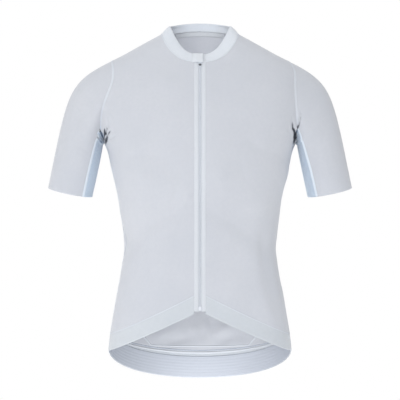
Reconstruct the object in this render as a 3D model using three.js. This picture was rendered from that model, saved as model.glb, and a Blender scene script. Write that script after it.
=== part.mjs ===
// A short-sleeved cycling jersey with a full front zip, filled out as it hangs on a wearer.
// It is made of its sewn pieces: two fronts, a back, sleeves with mesh underarm panels, a stand
// collar, a cropped front hem, a longer back hem, three rear pockets and the zip.
// Millimetres, +Z up. The front faces -Y and the wearer's left is +X. The origin is midway
// between the two points where the collar meets the shoulders.
import * as THREE from 'three';

// Cloth thicknesses and the gaps between pieces.
const CLOTH = 1.2;
const COLLAR_CLOTH = 1.8;
const BAND_CLOTH = 1.6;
const EDGE_PULL = 0.2;
const EDGE_BEVEL = 0.5;
const OVERLAY_GAP = 0.4;
const BAND_RAISE = 0.3;
const COLLAR_RAISE = 0.1;

// The torso, as level sections: half width, and the y of the breastbone, the spine and the side.
const SECTIONS = [
  { z: 30, half: 19, chest: -20, spine: 70, side: 14 },
  { z: 0, half: 76, chest: -36, spine: 80, side: 14 },
  { z: -20, half: 113, chest: -44, spine: 91, side: 13.5 },
  { z: -40, half: 148.6, chest: -52.5, spine: 99, side: 13 },
  { z: -55, half: 177, chest: -60, spine: 103, side: 12 },
  { z: -75, half: 199, chest: -71, spine: 107, side: 11 },
  { z: -100, half: 209.5, chest: -84, spine: 110, side: 9 },
  { z: -130, half: 212, chest: -97, spine: 112, side: 7 },
  { z: -160, half: 207, chest: -107, spine: 113, side: 5 },
  { z: -185, half: 199, chest: -113, spine: 112, side: 4 },
  { z: -210, half: 189, chest: -117, spine: 110.5, side: 2 },
  { z: -231, half: 180.5, chest: -118.5, spine: 108.5, side: 1.5 },
  { z: -262, half: 173.8, chest: -118, spine: 104.5, side: 1 },
  { z: -294, half: 166, chest: -115, spine: 99, side: 0 },
  { z: -325, half: 159.3, chest: -111, spine: 94, side: -1 },
  { z: -357, half: 155, chest: -106.5, spine: 88.5, side: -2 },
  { z: -388, half: 151, chest: -102, spine: 84.5, side: -3 },
  { z: -419, half: 149, chest: -99, spine: 82.5, side: -4 },
  { z: -451, half: 152.5, chest: -97.5, spine: 83.5, side: -4 },
  { z: -482, half: 157, chest: -97.5, spine: 87, side: -3.5 },
  { z: -513, half: 162.8, chest: -98.5, spine: 92, side: -2.5 },
  { z: -545, half: 168.6, chest: -100, spine: 98, side: -1 },
  { z: -576, half: 174, chest: -102, spine: 103, side: 0 },
  { z: -607, half: 178.2, chest: -103.5, spine: 107.5, side: 1 },
  { z: -640, half: 180, chest: -104, spine: 110.5, side: 2 },
  { z: -690, half: 179, chest: -103, spine: 113, side: 3 },
];
const SQUARENESS = 0.1;

// Hems. The front is cut high at the zip and the back drops below the sides.
const HEM_SIDE_Z = -619;
const HEM_FRONT_RISE = 82.5;
const HEM_BACK_DROP = 66;
const FRONT_BAND = { atZip: 34, atSide: 32 };
const BACK_BAND = { atSpine: 53, atSide: 42 };

// Neckline and collar.
// At the front both lines fall as a power of the turn, made fuller by an ease.
const NECK = { halfWidth: 76, frontDrop: 59, frontPower: 2.2, frontEase: 1.4, backRise: 12 };
const COLLAR_TOP = {
  halfWidth: 61, halfDepth: 59.5, y: 13.5, sideZ: 16,
  frontDrop: 60.8, frontPower: 3, frontEase: 1.85, backRise: 11, backPower: 1.5,
};

// Armholes run over the torso as a loop: its lowest and highest z, and how far it turns round
// to the front and the back. Turn is in radians, skew moves the widest place up.
const PIT_Z = -210;
const ARMHOLE_TOP_Z = -52;
const ARMHOLE = {
  front: { '-1': { turn: 0.585, skew: 0.55 }, 1: { turn: 0.555, skew: 0.14 } },
  back: { turn: 0.56, skew: 0.3 },
};
const SHOULDER_SEAM = { pastTop: 20, neckAngle: -50 };

// Sleeves: the cuff ring, and how the sleeve leaves the armhole at its top and at the pit.
const CUFF = { x: 254.5, y: 5, z: -310, halfWidth: 44.4, halfDepth: 50, tilt: 0.087 };
const SLEEVE_AXIS = new THREE.Vector3(0.203, 0, -0.979);
const SLEEVE_HEAD = { out: 0.88, down: -0.43, reach: 100, settle: 195 };
const SLEEVE_PIT = { out: 0.15, down: -0.99, reach: 37, settle: 37 };
const MESH_PANEL_AT_CUFF = 50;
const MESH_PANEL_WIDENING = 0.65;

// Folds that fan out from each armpit: they start clear of the pit, rise, and fade further out.
// They also fade near the side line and below the pit.
const PIT_FOLDS = {
  depth: 2.6, waves: 5.2, start: 0.35, clear: 4, near: 12, far: 62,
  sideClear: 8, sideFade: 40, below: 30, belowFade: 40,
};

// Zip: half widths of the open strip and of the raised binding beside it, and their levels.
const ZIP = {
  strip: 3, innerEdge: 3.2, outerEdge: 11, raise: 0.7, bindingFoot: -1.1, chainTop: -0.2, chainFoot: -1.4,
};

// Grid counts.
const FRONT_COLUMNS = 11;
const BACK_HALF_COLUMNS = 12;
const BACK_NECK_COLUMNS = 3;
const LOWER_ROWS = 12;
const CENTRE_ROWS = 7;
const NECK_ROWS = 9;
const FRONT_UPPER_ROWS = CENTRE_ROWS + NECK_ROWS;
const BACK_UPPER_ROWS = 13;
const SLEEVE_STEPS = 10;
const MESH_ROWS = 4;
const BAND_ROWS = 2;
const COLLAR_ROWS = 3;
// Powers that crowd the columns towards the side seam, the rows towards the armpit and the
// steps of a sleeve towards the armhole.
const COLUMN_CROWDING = 1.15;
const ROW_CROWDING = 1.12;
const STEP_CROWDING = 1.1;

const COLOURS = {
  body: 0xd3d7df, mesh: 0xbccbe0, trim: 0xdfe4ec, band: 0xd9dfe8, zip: 0xccd0d9, dark: 0x24262b,
};

const mix = (a, b, t) => a + (b - a) * t;
const radians = THREE.MathUtils.degToRad;
const clamp01 = (t) => Math.min(1, Math.max(0, t));
const soft = (t) => clamp01(t) ** 2 * (3 - 2 * clamp01(t));

// One column of the section table at height z: a cubic through the rows.
function section(key, z) {
  const rows = SECTIONS;
  let k = 0;
  while (k < rows.length - 2 && z < rows[k + 1].z) k += 1;
  const slope = (i) => {
    const a = rows[Math.max(i - 1, 0)];
    const b = rows[i];
    const c = rows[Math.min(i + 1, rows.length - 1)];
    const before = a === b ? null : (b[key] - a[key]) / (b.z - a.z);
    const after = b === c ? null : (c[key] - b[key]) / (c.z - b.z);
    if (before === null) return after;
    if (after === null) return before;
    return (before + after) / 2;
  };
  const [p, q] = [rows[k], rows[k + 1]];
  const h = q.z - p.z;
  const t = (z - p.z) / h;
  return (2 * t ** 3 - 3 * t ** 2 + 1) * p[key] + (t ** 3 - 2 * t ** 2 + t) * h * slope(k)
    + (3 * t ** 2 - 2 * t ** 3) * q[key] + (t ** 3 - t ** 2) * h * slope(k + 1);
}

// The armpit folds push the cloth along y by an amount that depends on its place alone,
// so that pieces which share a seam stay together.
function pitFold(x, y, z) {
  const dx = Math.abs(x) - section('half', PIT_Z);
  const dz = z - PIT_Z;
  const r = Math.hypot(dx, dz);
  const rise = soft((r - PIT_FOLDS.clear) / PIT_FOLDS.near);
  const fade = rise * (1 - soft((r - PIT_FOLDS.near) / PIT_FOLDS.far));
  const fromSide = Math.abs(y - section('side', PIT_Z));
  const depthFade = soft((fromSide - PIT_FOLDS.sideClear) / PIT_FOLDS.sideFade);
  const wave = Math.cos(PIT_FOLDS.waves * (Math.atan2(dz, dx) - PIT_FOLDS.start));
  const above = soft((dz + PIT_FOLDS.below) / PIT_FOLDS.belowFade);
  return PIT_FOLDS.depth * fade * depthFade * wave * above * (y < 0 ? -1 : 1);
}

// A squared ellipse for each level section. Angle 0 is the side, positive turns to the front.
function torsoBare(z, angle) {
  const c = Math.cos(angle);
  const s = Math.sin(angle);
  const side = section('side', z);
  const depth = s > 0 ? side - section('chest', z) : section('spine', z) - side;
  return new THREE.Vector3(
    section('half', z) * c * (1 + SQUARENESS * s * s),
    side - depth * s * (1 + SQUARENESS * c * c),
    z,
  );
}

// The angle at which the section at z reaches a given x.
function angleAt(x, z) {
  const want = Math.min(1, Math.abs(x) / section('half', z));
  let [low, high] = [0, Math.PI / 2];
  for (let i = 0; i < 40; i += 1) {
    const mid = (low + high) / 2;
    const got = Math.cos(mid) * (1 + SQUARENESS * Math.sin(mid) ** 2);
    if (got > want) low = mid; else high = mid;
  }
  return (low + high) / 2;
}

// A point from its place, two tangents that give its outward normal, and an offset along it.
function lifted(at, across, up, side, off) {
  const n = new THREE.Vector3().crossVectors(across, up).normalize();
  const p = at.clone();
  p.y += pitFold(p.x, p.y, p.z);
  p.addScaledVector(n, off);
  p.x *= side;
  return p;
}

function torso(z, angle, side = 1, off = 0) {
  const e = 1e-3;
  const across = torsoBare(z, angle - e).sub(torsoBare(z, angle + e));
  const up = torsoBare(z + 0.1, angle).sub(torsoBare(z - 0.1, angle));
  return lifted(torsoBare(z, angle), across, up, side, off);
}

// Hem height and band height round the torso, by the same angle.
function hemZ(angle) {
  const width = Math.cos(angle) * (1 + SQUARENESS * Math.sin(angle) ** 2);
  if (angle >= 0) return HEM_SIDE_Z + HEM_FRONT_RISE * (1 - width);
  return HEM_SIDE_Z + HEM_BACK_DROP * Math.sin(angle);
}
function bandTopZ(angle) {
  const share = Math.cos(angle);
  const band = angle >= 0
    ? mix(FRONT_BAND.atZip, FRONT_BAND.atSide, share)
    : mix(BACK_BAND.atSpine, BACK_BAND.atSide, share ** 4);
  return hemZ(angle) + band;
}

const frontFall = (line, s) => line.frontDrop * s ** line.frontPower * (1 + line.frontEase * (1 - s));

// The neckline, by an angle seen from above: 90 at the zip, 0 at the shoulder, -90 at the spine.
function neckAt(alpha) {
  const x = NECK.halfWidth * Math.cos(alpha);
  const s = Math.sin(alpha);
  const z = s > 0 ? -frontFall(NECK, s) : NECK.backRise * s * s;
  return { z, angle: Math.sign(s || 1) * angleAt(x, z) };
}

// The collar: its foot is the neckline at alpha, its top edge is the ellipse at beta.
function collarBare(alpha, beta, h) {
  const foot = neckAt(alpha);
  const low = torsoBare(foot.z, foot.angle);
  const s = Math.sin(beta);
  const topZ = s > 0
    ? COLLAR_TOP.sideZ - frontFall(COLLAR_TOP, s)
    : COLLAR_TOP.sideZ + COLLAR_TOP.backRise * (-s) ** COLLAR_TOP.backPower;
  const high = new THREE.Vector3(
    COLLAR_TOP.halfWidth * Math.cos(beta),
    COLLAR_TOP.y - COLLAR_TOP.halfDepth * s,
    topZ,
  );
  return low.lerp(high, h);
}
function collar(alpha, beta, h, side = 1, off = 0) {
  const e = 0.01;
  const across = collarBare(alpha - e, beta - e, h).sub(collarBare(alpha + e, beta + e, h));
  const up = collarBare(alpha, beta, 1).sub(collarBare(alpha, beta, 0));
  return lifted(collarBare(alpha, beta, h), across, up, side, off);
}
const neckAngleAtX = (x) => Math.acos(x / NECK.halfWidth);
const topAngleAtX = (x) => Math.acos(x / COLLAR_TOP.halfWidth);

// The armhole loop: 0 at the pit, 180 at the top, over the front going up and the back coming down.
function armholeAt(phi, side) {
  const front = phi <= Math.PI;
  const tau = front ? phi : 2 * Math.PI - phi;
  const shape = front ? ARMHOLE.front[side] : ARMHOLE.back;
  const z = mix(PIT_Z, ARMHOLE_TOP_Z, (1 - Math.cos(tau)) / 2);
  const turn = shape.turn * Math.sin(tau) * Math.exp(-shape.skew * Math.cos(tau));
  return { z, angle: front ? turn : -turn };
}

// A sleeve thread runs from the armhole to the cuff as a Bezier curve.
function sleeveBare(phi, s, side) {
  const hole = armholeAt(phi, side);
  const start = torsoBare(hole.z, hole.angle);
  const share = (1 - Math.cos(phi)) / 2;
  const leave = new THREE.Vector3(
    mix(SLEEVE_PIT.out, SLEEVE_HEAD.out, share), 0, mix(SLEEVE_PIT.down, SLEEVE_HEAD.down, share),
  ).normalize().multiplyScalar(mix(SLEEVE_PIT.reach, SLEEVE_HEAD.reach, share));
  const end = new THREE.Vector3(CUFF.x, CUFF.y, CUFF.z);
  end.x += CUFF.halfWidth * Math.cos(phi) * SLEEVE_AXIS.z;
  end.z -= CUFF.halfWidth * Math.cos(phi) * SLEEVE_AXIS.x;
  end.y -= CUFF.halfDepth * Math.sin(phi);
  end.z -= CUFF.halfDepth * Math.sin(phi) * CUFF.tilt;
  const settle = mix(SLEEVE_PIT.settle, SLEEVE_HEAD.settle, share);
  const curve = new THREE.CubicBezierCurve3(
    start, start.clone().add(leave), end.clone().addScaledVector(SLEEVE_AXIS, -settle), end,
  );
  return curve.getPoint(s);
}
function sleeve(phi, s, side = 1, off = 0) {
  const e = 1e-3;
  const around = sleeveBare(phi + 2 * e, s, side).sub(sleeveBare(phi - 2 * e, s, side));
  const [a, b] = [Math.max(s - e, 0), Math.min(s + e, 1)];
  const along = sleeveBare(phi, a, side).sub(sleeveBare(phi, b, side));
  return lifted(sleeveBare(phi, s, side), around, along, side, off);
}

// A Coons patch over the (z, angle) plane of the torso from its four edges.
function coons(u, v, low, high, inner, outer) {
  const key = (k) => mix(low(u)[k], high(u)[k], v) + mix(inner(v)[k], outer(v)[k], u)
    - mix(mix(low(0)[k], low(1)[k], u), mix(high(0)[k], high(1)[k], u), v);
  return { z: key('z'), angle: key('angle') };
}
// Two edges run one after the other, joined at share `at`.
const chain = (first, second, at) => (t) => (t <= at ? first(t / at) : second((t - at) / (1 - at)));

const seamNeck = neckAt(radians(SHOULDER_SEAM.neckAngle));
const seamArmPhi = radians(180 + SHOULDER_SEAM.pastTop);
const shoulderSeam = (t, side) => {
  const arm = armholeAt(seamArmPhi, side);
  return { z: mix(seamNeck.z, arm.z, t), angle: mix(seamNeck.angle, arm.angle, t) };
};

// The front, from the zip binding out to the side seam and armhole.
const neckStart = neckAngleAtX(ZIP.outerEdge);
const neckEnd = radians(SHOULDER_SEAM.neckAngle);
const centreShare = CENTRE_ROWS / FRONT_UPPER_ROWS;
const frontColumn = (i) => 1 - (1 - i / FRONT_COLUMNS) ** COLUMN_CROWDING;
const lowerRow = (j) => 1 - (1 - j / LOWER_ROWS) ** ROW_CROWDING;
function frontUpper(u, v, side) {
  const low = (t) => ({ z: PIT_Z, angle: mix(angleAt(ZIP.outerEdge, PIT_Z), 0, t) });
  const zipLine = (t) => {
    const z = mix(PIT_Z, neckAt(neckStart).z, t);
    return { z, angle: angleAt(ZIP.outerEdge, z) };
  };
  const inner = chain(zipLine, (t) => neckAt(mix(neckStart, neckEnd, t)), centreShare);
  const outer = (t) => armholeAt(seamArmPhi * t, side);
  return coons(u, v, low, (t) => shoulderSeam(t, side), inner, outer);
}
function frontLower(u, v) {
  let z = HEM_SIDE_Z;
  let angle = 0;
  for (let i = 0; i < 3; i += 1) {
    angle = mix(angleAt(ZIP.outerEdge, z), 0, u);
    z = mix(bandTopZ(angle), PIT_Z, v);
  }
  return { z, angle };
}

// One half of the back.
function backUpper(u, v, side) {
  const low = (t) => ({ z: PIT_Z, angle: -mix(Math.PI / 2, 0, t) });
  const inner = (t) => ({ z: mix(PIT_Z, NECK.backRise, t), angle: -Math.PI / 2 });
  const neck = (t) => neckAt(mix(-Math.PI / 2, neckEnd, t));
  const high = chain(neck, (t) => shoulderSeam(t, side), BACK_NECK_COLUMNS / BACK_HALF_COLUMNS);
  const outer = (t) => armholeAt(mix(2 * Math.PI, seamArmPhi, t), side);
  return coons(u, v, low, high, inner, outer);
}
function backLower(u, v) {
  const angle = -mix(Math.PI / 2, 0, u);
  return { z: mix(bandTopZ(angle), PIT_Z, v), angle };
}

const jersey = new THREE.Group();

function add(name, colour, geometry, roughness = 0.85, metalness = 0) {
  geometry.computeVertexNormals();
  const mesh = new THREE.Mesh(
    geometry, new THREE.MeshStandardMaterial({ color: colour, roughness, metalness }),
  );
  mesh.name = name;
  jersey.add(mesh);
  return mesh;
}

// Pulls the rim of a grid back along its own surface, which leaves the seam gap.
function pullEdges(grid, pull) {
  const [n, m] = [grid.length - 1, grid[0].length - 1];
  const moved = grid.map((column) => column.map((p) => p.clone()));
  const shift = (i, j, ii, jj) => {
    const way = grid[ii][jj].clone().sub(grid[i][j]).normalize();
    moved[i][j].addScaledVector(way, pull);
  };
  for (let j = 0; j <= m; j += 1) {
    shift(0, j, 1, j);
    shift(n, j, n - 1, j);
  }
  for (let i = 0; i <= n; i += 1) {
    shift(i, 0, i, 1);
    shift(i, m, i, m - 1);
  }
  return moved;
}

// A cloth wall between an outer and an inner grid of points, closed round its rim.
function wall(name, colour, columns, rows, pointAt, outerOff, innerOff, pull = EDGE_PULL) {
  const layer = (which) => {
    const grid = [];
    for (let i = 0; i <= columns; i += 1) {
      grid.push([]);
      for (let j = 0; j <= rows; j += 1) {
        const off = which === 0 ? outerOff : innerOff;
        grid[i].push(pointAt(i, j, typeof off === 'function' ? off(i, j) : off));
      }
    }
    return grid;
  };
  const [outer, inner] = [layer(0), layer(1)];
  const thickness = outer[0][0].distanceTo(inner[0][0]);
  const layers = [
    pullEdges(outer, pull), pullEdges(inner, pull === 0 ? 0 : pull + EDGE_BEVEL * thickness),
  ];
  const positions = [];
  layers.forEach((grid) => grid.forEach((column) => column.forEach((p) => positions.push(...p))));
  const id = (which, i, j) => (which * (columns + 1) + i) * (rows + 1) + j;
  const faces = [];
  const quad = (a, b, c, d) => faces.push(a, b, c, a, c, d);
  for (let i = 0; i < columns; i += 1) {
    for (let j = 0; j < rows; j += 1) {
      quad(id(0, i, j), id(0, i + 1, j), id(0, i + 1, j + 1), id(0, i, j + 1));
      quad(id(1, i, j + 1), id(1, i + 1, j + 1), id(1, i + 1, j), id(1, i, j));
    }
    quad(id(1, i, 0), id(1, i + 1, 0), id(0, i + 1, 0), id(0, i, 0));
    quad(id(0, i, rows), id(0, i + 1, rows), id(1, i + 1, rows), id(1, i, rows));
  }
  for (let j = 0; j < rows; j += 1) {
    quad(id(0, 0, j), id(0, 0, j + 1), id(1, 0, j + 1), id(1, 0, j));
    quad(id(1, columns, j), id(1, columns, j + 1), id(0, columns, j + 1), id(0, columns, j));
  }
  let volume = 0;
  const at = (k) => new THREE.Vector3().fromArray(positions, 3 * k);
  for (let k = 0; k < faces.length; k += 3) {
    volume += at(faces[k]).dot(at(faces[k + 1]).cross(at(faces[k + 2])));
  }
  if (volume < 0) faces.reverse();
  const geometry = new THREE.BufferGeometry();
  geometry.setAttribute('position', new THREE.Float32BufferAttribute(positions, 3));
  geometry.setIndex(faces);
  return add(name, colour, geometry);
}

const SIDES = [
  { side: -1, word: 'right' },
  { side: 1, word: 'left' },
];

// Fronts.
for (const { side, word } of SIDES) {
  wall(`front_${word}`, COLOURS.body, FRONT_COLUMNS, LOWER_ROWS + FRONT_UPPER_ROWS, (i, j, off) => {
    const u = frontColumn(i);
    const at = j <= LOWER_ROWS
      ? frontLower(u, lowerRow(j))
      : frontUpper(u, (j - LOWER_ROWS) / FRONT_UPPER_ROWS, side);
    return torso(at.z, at.angle, side, off);
  }, 0, -CLOTH);
}

// Back, across both halves.
const backPoint = (i, j, off) => {
  const k = i - BACK_HALF_COLUMNS;
  const side = k < 0 ? -1 : 1;
  const u = Math.abs(k) / BACK_HALF_COLUMNS;
  const at = j <= LOWER_ROWS
    ? backLower(u, lowerRow(j))
    : backUpper(u, (j - LOWER_ROWS) / BACK_UPPER_ROWS, side);
  return torso(at.z, at.angle, side, off);
};
wall('back', COLOURS.body, 2 * BACK_HALF_COLUMNS, LOWER_ROWS + BACK_UPPER_ROWS, backPoint, 0, -CLOTH);

// Rear pockets lie on the back, column for column, and gape a little at the mouth.
const POCKET_TOP_ROW = 5;
const POCKETS = [
  { name: 'pocket_right', from: -8, to: -3 },
  { name: 'pocket_centre', from: -3, to: 3 },
  { name: 'pocket_left', from: 3, to: 8 },
];
const POCKET_CLOTH = 1;
const POCKET_GAPE = { most: 3, from: 0.35 };
for (const { name, from, to } of POCKETS) {
  const gape = (i, j) => {
    const across = Math.sin(Math.PI * i / (to - from));
    const up = (j / POCKET_TOP_ROW - POCKET_GAPE.from) / (1 - POCKET_GAPE.from);
    return POCKET_GAPE.most * across * soft(up);
  };
  wall(
    name, COLOURS.body, to - from, POCKET_TOP_ROW,
    (i, j, off) => backPoint(from + i + BACK_HALF_COLUMNS, j, off),
    (i, j) => OVERLAY_GAP + POCKET_CLOTH + gape(i, j), (i, j) => OVERLAY_GAP + gape(i, j),
  );
}

// Hem bands.
for (const { side, word } of SIDES) {
  wall(`hem_front_${word}`, COLOURS.band, FRONT_COLUMNS, BAND_ROWS, (i, j, off) => {
    const top = frontLower(frontColumn(i), 0);
    return torso(mix(hemZ(top.angle), top.z, j / BAND_ROWS), top.angle, side, off);
  }, BAND_RAISE, BAND_RAISE - BAND_CLOTH);
}
wall('hem_back', COLOURS.band, 2 * BACK_HALF_COLUMNS, BAND_ROWS, (i, j, off) => {
  const k = i - BACK_HALF_COLUMNS;
  const top = backLower(Math.abs(k) / BACK_HALF_COLUMNS, 0);
  const z = mix(hemZ(top.angle), top.z, j / BAND_ROWS);
  return torso(z, top.angle, k < 0 ? -1 : 1, off);
}, BAND_RAISE, BAND_RAISE - BAND_CLOTH);

// Sleeves share the armhole's points with the fronts and the back. The mesh panel takes the
// first rows on each side of the pit.
const armPhis = [];
for (let k = 0; k <= FRONT_UPPER_ROWS; k += 1) armPhis.push(seamArmPhi * k / FRONT_UPPER_ROWS);
for (let k = BACK_UPPER_ROWS - 1; k >= 0; k -= 1) {
  armPhis.push(mix(2 * Math.PI, seamArmPhi, k / BACK_UPPER_ROWS));
}
const meshFrom = armPhis.length - 1 - MESH_ROWS;
const outerPhis = armPhis.slice(MESH_ROWS, meshFrom + 1);
const meshPhis = [
  ...armPhis.slice(meshFrom).map((phi) => phi - 2 * Math.PI),
  ...armPhis.slice(1, MESH_ROWS + 1),
];
// Slides a thread's angle so that the edge of the mesh panel follows its own line to the cuff.
function threadAngle(phi, s, s0, s1) {
  const cuffFrom = s0 > 0 ? radians(MESH_PANEL_AT_CUFF) : -radians(MESH_PANEL_AT_CUFF);
  const cuffTo = s0 > 0 ? 2 * Math.PI - radians(MESH_PANEL_AT_CUFF) : radians(MESH_PANEL_AT_CUFF);
  return mix(phi, mix(cuffFrom, cuffTo, (phi - s0) / (s1 - s0)), s ** MESH_PANEL_WIDENING);
}
const sleeveStep = (j) => (j / SLEEVE_STEPS) ** STEP_CROWDING;
for (const { side, word } of SIDES) {
  for (const [name, phis, colour] of [
    [`sleeve_${word}`, outerPhis, COLOURS.body], [`underarm_${word}`, meshPhis, COLOURS.mesh],
  ]) {
    wall(name, colour, phis.length - 1, SLEEVE_STEPS, (i, j, off) => {
      const s = sleeveStep(j);
      const phi = threadAngle(phis[i], s, phis[0], phis[phis.length - 1]);
      return sleeve(phi, s, side, off);
    }, 0, -CLOTH);
  }
}

// Collar, one band from zip to zip round the back. Its columns meet the panels' points.
const neckAngles = [];
for (let k = 0; k <= NECK_ROWS; k += 1) neckAngles.push(mix(neckStart, neckEnd, k / NECK_ROWS));
for (let k = BACK_NECK_COLUMNS - 1; k >= 0; k -= 1) {
  neckAngles.push(mix(-Math.PI / 2, neckEnd, k / BACK_NECK_COLUMNS));
}
const collarHalf = neckAngles.length - 1;
const topStart = topAngleAtX(ZIP.outerEdge);
const topAngleFor = (alpha) => mix(-Math.PI / 2, topStart, (alpha + Math.PI / 2) / (neckStart + Math.PI / 2));
wall('collar', COLOURS.trim, 2 * collarHalf, COLLAR_ROWS, (i, j, off) => {
  const side = i < collarHalf ? -1 : 1;
  const alpha = neckAngles[i < collarHalf ? i : 2 * collarHalf - i];
  return collar(alpha, topAngleFor(alpha), j / COLLAR_ROWS, side, off);
}, COLLAR_RAISE, COLLAR_RAISE - COLLAR_CLOTH);

// Tape over the neck seam, inside the back.
const TAPE = { from: 1, down: 9, out: 4, depth: -2.3, cloth: 0.8 };
wall('neck_tape', COLOURS.trim, 2 * BACK_NECK_COLUMNS, 1, (i, j, off) => {
  const k = i - BACK_NECK_COLUMNS;
  const alpha = neckAngles[collarHalf - Math.abs(k)];
  const drop = j === 0 ? TAPE.down : TAPE.from;
  const z = neckAt(alpha).z - drop * Math.abs(Math.sin(alpha));
  const wide = NECK.halfWidth + TAPE.out * drop / TAPE.down;
  return torso(z, -angleAt(wide * Math.cos(alpha), z), k < 0 ? -1 : 1, off);
}, TAPE.depth, TAPE.depth - TAPE.cloth);

// The centre front, from the hem up to the neckline and on up the collar.
const stripRows = LOWER_ROWS + CENTRE_ROWS + COLLAR_ROWS;
function centreFront(x, j, off) {
  const side = x < 0 ? -1 : 1;
  const across = Math.abs(x);
  const wide = Math.max(across, ZIP.outerEdge);
  if (j <= LOWER_ROWS) {
    const z = j < 0 ? hemZ(Math.PI / 2) : mix(bandTopZ(Math.PI / 2), PIT_Z, lowerRow(j));
    return torso(z, angleAt(across, z), side, off);
  }
  if (j <= LOWER_ROWS + CENTRE_ROWS) {
    const z = mix(PIT_Z, neckAt(neckAngleAtX(wide)).z, (j - LOWER_ROWS) / CENTRE_ROWS);
    return torso(z, angleAt(across, z), side, off);
  }
  const h = (j - LOWER_ROWS - CENTRE_ROWS) / COLLAR_ROWS;
  return collar(neckAngleAtX(across), topAngleAtX(across), h, side, off);
}
for (const { side, word } of SIDES) {
  wall(`zip_binding_${word}`, COLOURS.trim, 1, stripRows + 1, (i, j, off) => (
    centreFront(side * (i === 0 ? ZIP.innerEdge : ZIP.outerEdge), j - 1, off)
  ), ZIP.raise, ZIP.bindingFoot);
}
wall('zip_chain', COLOURS.zip, 2, stripRows + 1, (i, j, off) => (
  centreFront((i - 1) * ZIP.strip, j - 1, off)
), ZIP.chainTop, ZIP.chainFoot, 0);

// The frame of the zip at height z: along points down the zip, out points away from the cloth.
function zipFrame(z) {
  const at = torso(z, Math.PI / 2);
  const along = torso(z - 2, Math.PI / 2).sub(torso(z + 2, Math.PI / 2)).normalize();
  const out = new THREE.Vector3(0, along.z, -along.y);
  return { at, along, out };
}
// Stands a shape drawn in (across, out) or (across, down) on the cloth at height z.
function placeOnZip(mesh, z, xAxis, yAxis, zAxis) {
  mesh.matrixAutoUpdate = false;
  mesh.matrix.makeBasis(xAxis, yAxis, zAxis).setPosition(zipFrame(z).at);
}
const acrossZip = new THREE.Vector3(1, 0, 0);

// Slider: a plate over the bindings with a stem between them, and the bridge that holds the tab.
const SLIDER = {
  z: -64.9, length: 10, halfWidth: 3.9, low: 1, high: 1.9, stem: 2.4, foot: 0.2, slope: 0.5,
};
const sliderShape = new THREE.Shape([
  new THREE.Vector2(-SLIDER.stem, SLIDER.foot),
  new THREE.Vector2(SLIDER.stem, SLIDER.foot),
  new THREE.Vector2(SLIDER.stem, SLIDER.low),
  new THREE.Vector2(SLIDER.halfWidth, SLIDER.low),
  new THREE.Vector2(SLIDER.halfWidth - SLIDER.slope, SLIDER.high),
  new THREE.Vector2(-SLIDER.halfWidth + SLIDER.slope, SLIDER.high),
  new THREE.Vector2(-SLIDER.halfWidth, SLIDER.low),
  new THREE.Vector2(-SLIDER.stem, SLIDER.low),
]);
const sliderFrame = zipFrame(SLIDER.z);
const slider = add('zip_slider', COLOURS.trim, new THREE.ExtrudeGeometry(
  sliderShape, { depth: SLIDER.length, bevelEnabled: false },
).translate(0, 0, -SLIDER.length / 2), 0.4, 0.3);
placeOnZip(slider, SLIDER.z, acrossZip, sliderFrame.out, sliderFrame.along);

// The bridge is an arch on the slider's plate; the tab's crossbar passes through it.
const BRIDGE = { z: -64.5, halfLength: 1.8, gap: 1.3, wall: 0.5, halfWidth: 0.8, lean: 0.15, seat: 0.02 };
const bridgeFoot = SLIDER.high + BRIDGE.seat;
const bridgeFrame = zipFrame(BRIDGE.z);
const bridgeShape = new THREE.Shape([
  new THREE.Vector2(-BRIDGE.halfLength, bridgeFoot),
  new THREE.Vector2(-BRIDGE.halfLength + 2 * BRIDGE.lean, bridgeFoot + BRIDGE.gap + BRIDGE.wall),
  new THREE.Vector2(BRIDGE.halfLength - 2 * BRIDGE.lean, bridgeFoot + BRIDGE.gap + BRIDGE.wall),
  new THREE.Vector2(BRIDGE.halfLength, bridgeFoot),
  new THREE.Vector2(BRIDGE.gap / 2 + BRIDGE.lean, bridgeFoot),
  new THREE.Vector2(BRIDGE.gap / 2, bridgeFoot + BRIDGE.gap),
  new THREE.Vector2(-BRIDGE.gap / 2, bridgeFoot + BRIDGE.gap),
  new THREE.Vector2(-BRIDGE.gap / 2 - BRIDGE.lean, bridgeFoot),
]);
const bridge = add('zip_bridge', COLOURS.trim, new THREE.ExtrudeGeometry(
  bridgeShape, { depth: 2 * BRIDGE.halfWidth, bevelEnabled: false },
).translate(0, 0, -BRIDGE.halfWidth), 0.4, 0.3);
placeOnZip(bridge, BRIDGE.z, bridgeFrame.along.clone().negate(), bridgeFrame.out, acrossZip);

// Pull tab: a small plate whose top frame goes round the bridge.
const TAB = { halfWidth: 2.4, length: 4.6, thick: 0.7, bar: 0.7, slot: 1.15, slotEnd: 2.2, corner: 1.5 };
const tabOut = bridgeFoot + BRIDGE.gap / 2;
const tabShape = new THREE.Shape();
tabShape.moveTo(-TAB.halfWidth, TAB.bar / 2);
tabShape.lineTo(-TAB.halfWidth, -TAB.length + TAB.corner);
tabShape.quadraticCurveTo(-TAB.halfWidth, -TAB.length, -TAB.halfWidth + TAB.corner, -TAB.length);
tabShape.lineTo(TAB.halfWidth - TAB.corner, -TAB.length);
tabShape.quadraticCurveTo(TAB.halfWidth, -TAB.length, TAB.halfWidth, -TAB.length + TAB.corner);
tabShape.lineTo(TAB.halfWidth, TAB.bar / 2);
tabShape.closePath();
tabShape.holes.push(new THREE.Path([
  new THREE.Vector2(-TAB.slot, -TAB.bar / 2),
  new THREE.Vector2(TAB.slot, -TAB.bar / 2),
  new THREE.Vector2(TAB.slot, -TAB.slotEnd),
  new THREE.Vector2(-TAB.slot, -TAB.slotEnd),
]));
const tab = add('zip_tab', COLOURS.dark, new THREE.ExtrudeGeometry(
  tabShape, { depth: TAB.thick, bevelEnabled: false, curveSegments: 4 },
).translate(0, 0, tabOut - TAB.thick / 2), 0.35, 0.6);
placeOnZip(tab, BRIDGE.z, acrossZip, bridgeFrame.along.clone().negate(), bridgeFrame.out);

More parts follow.
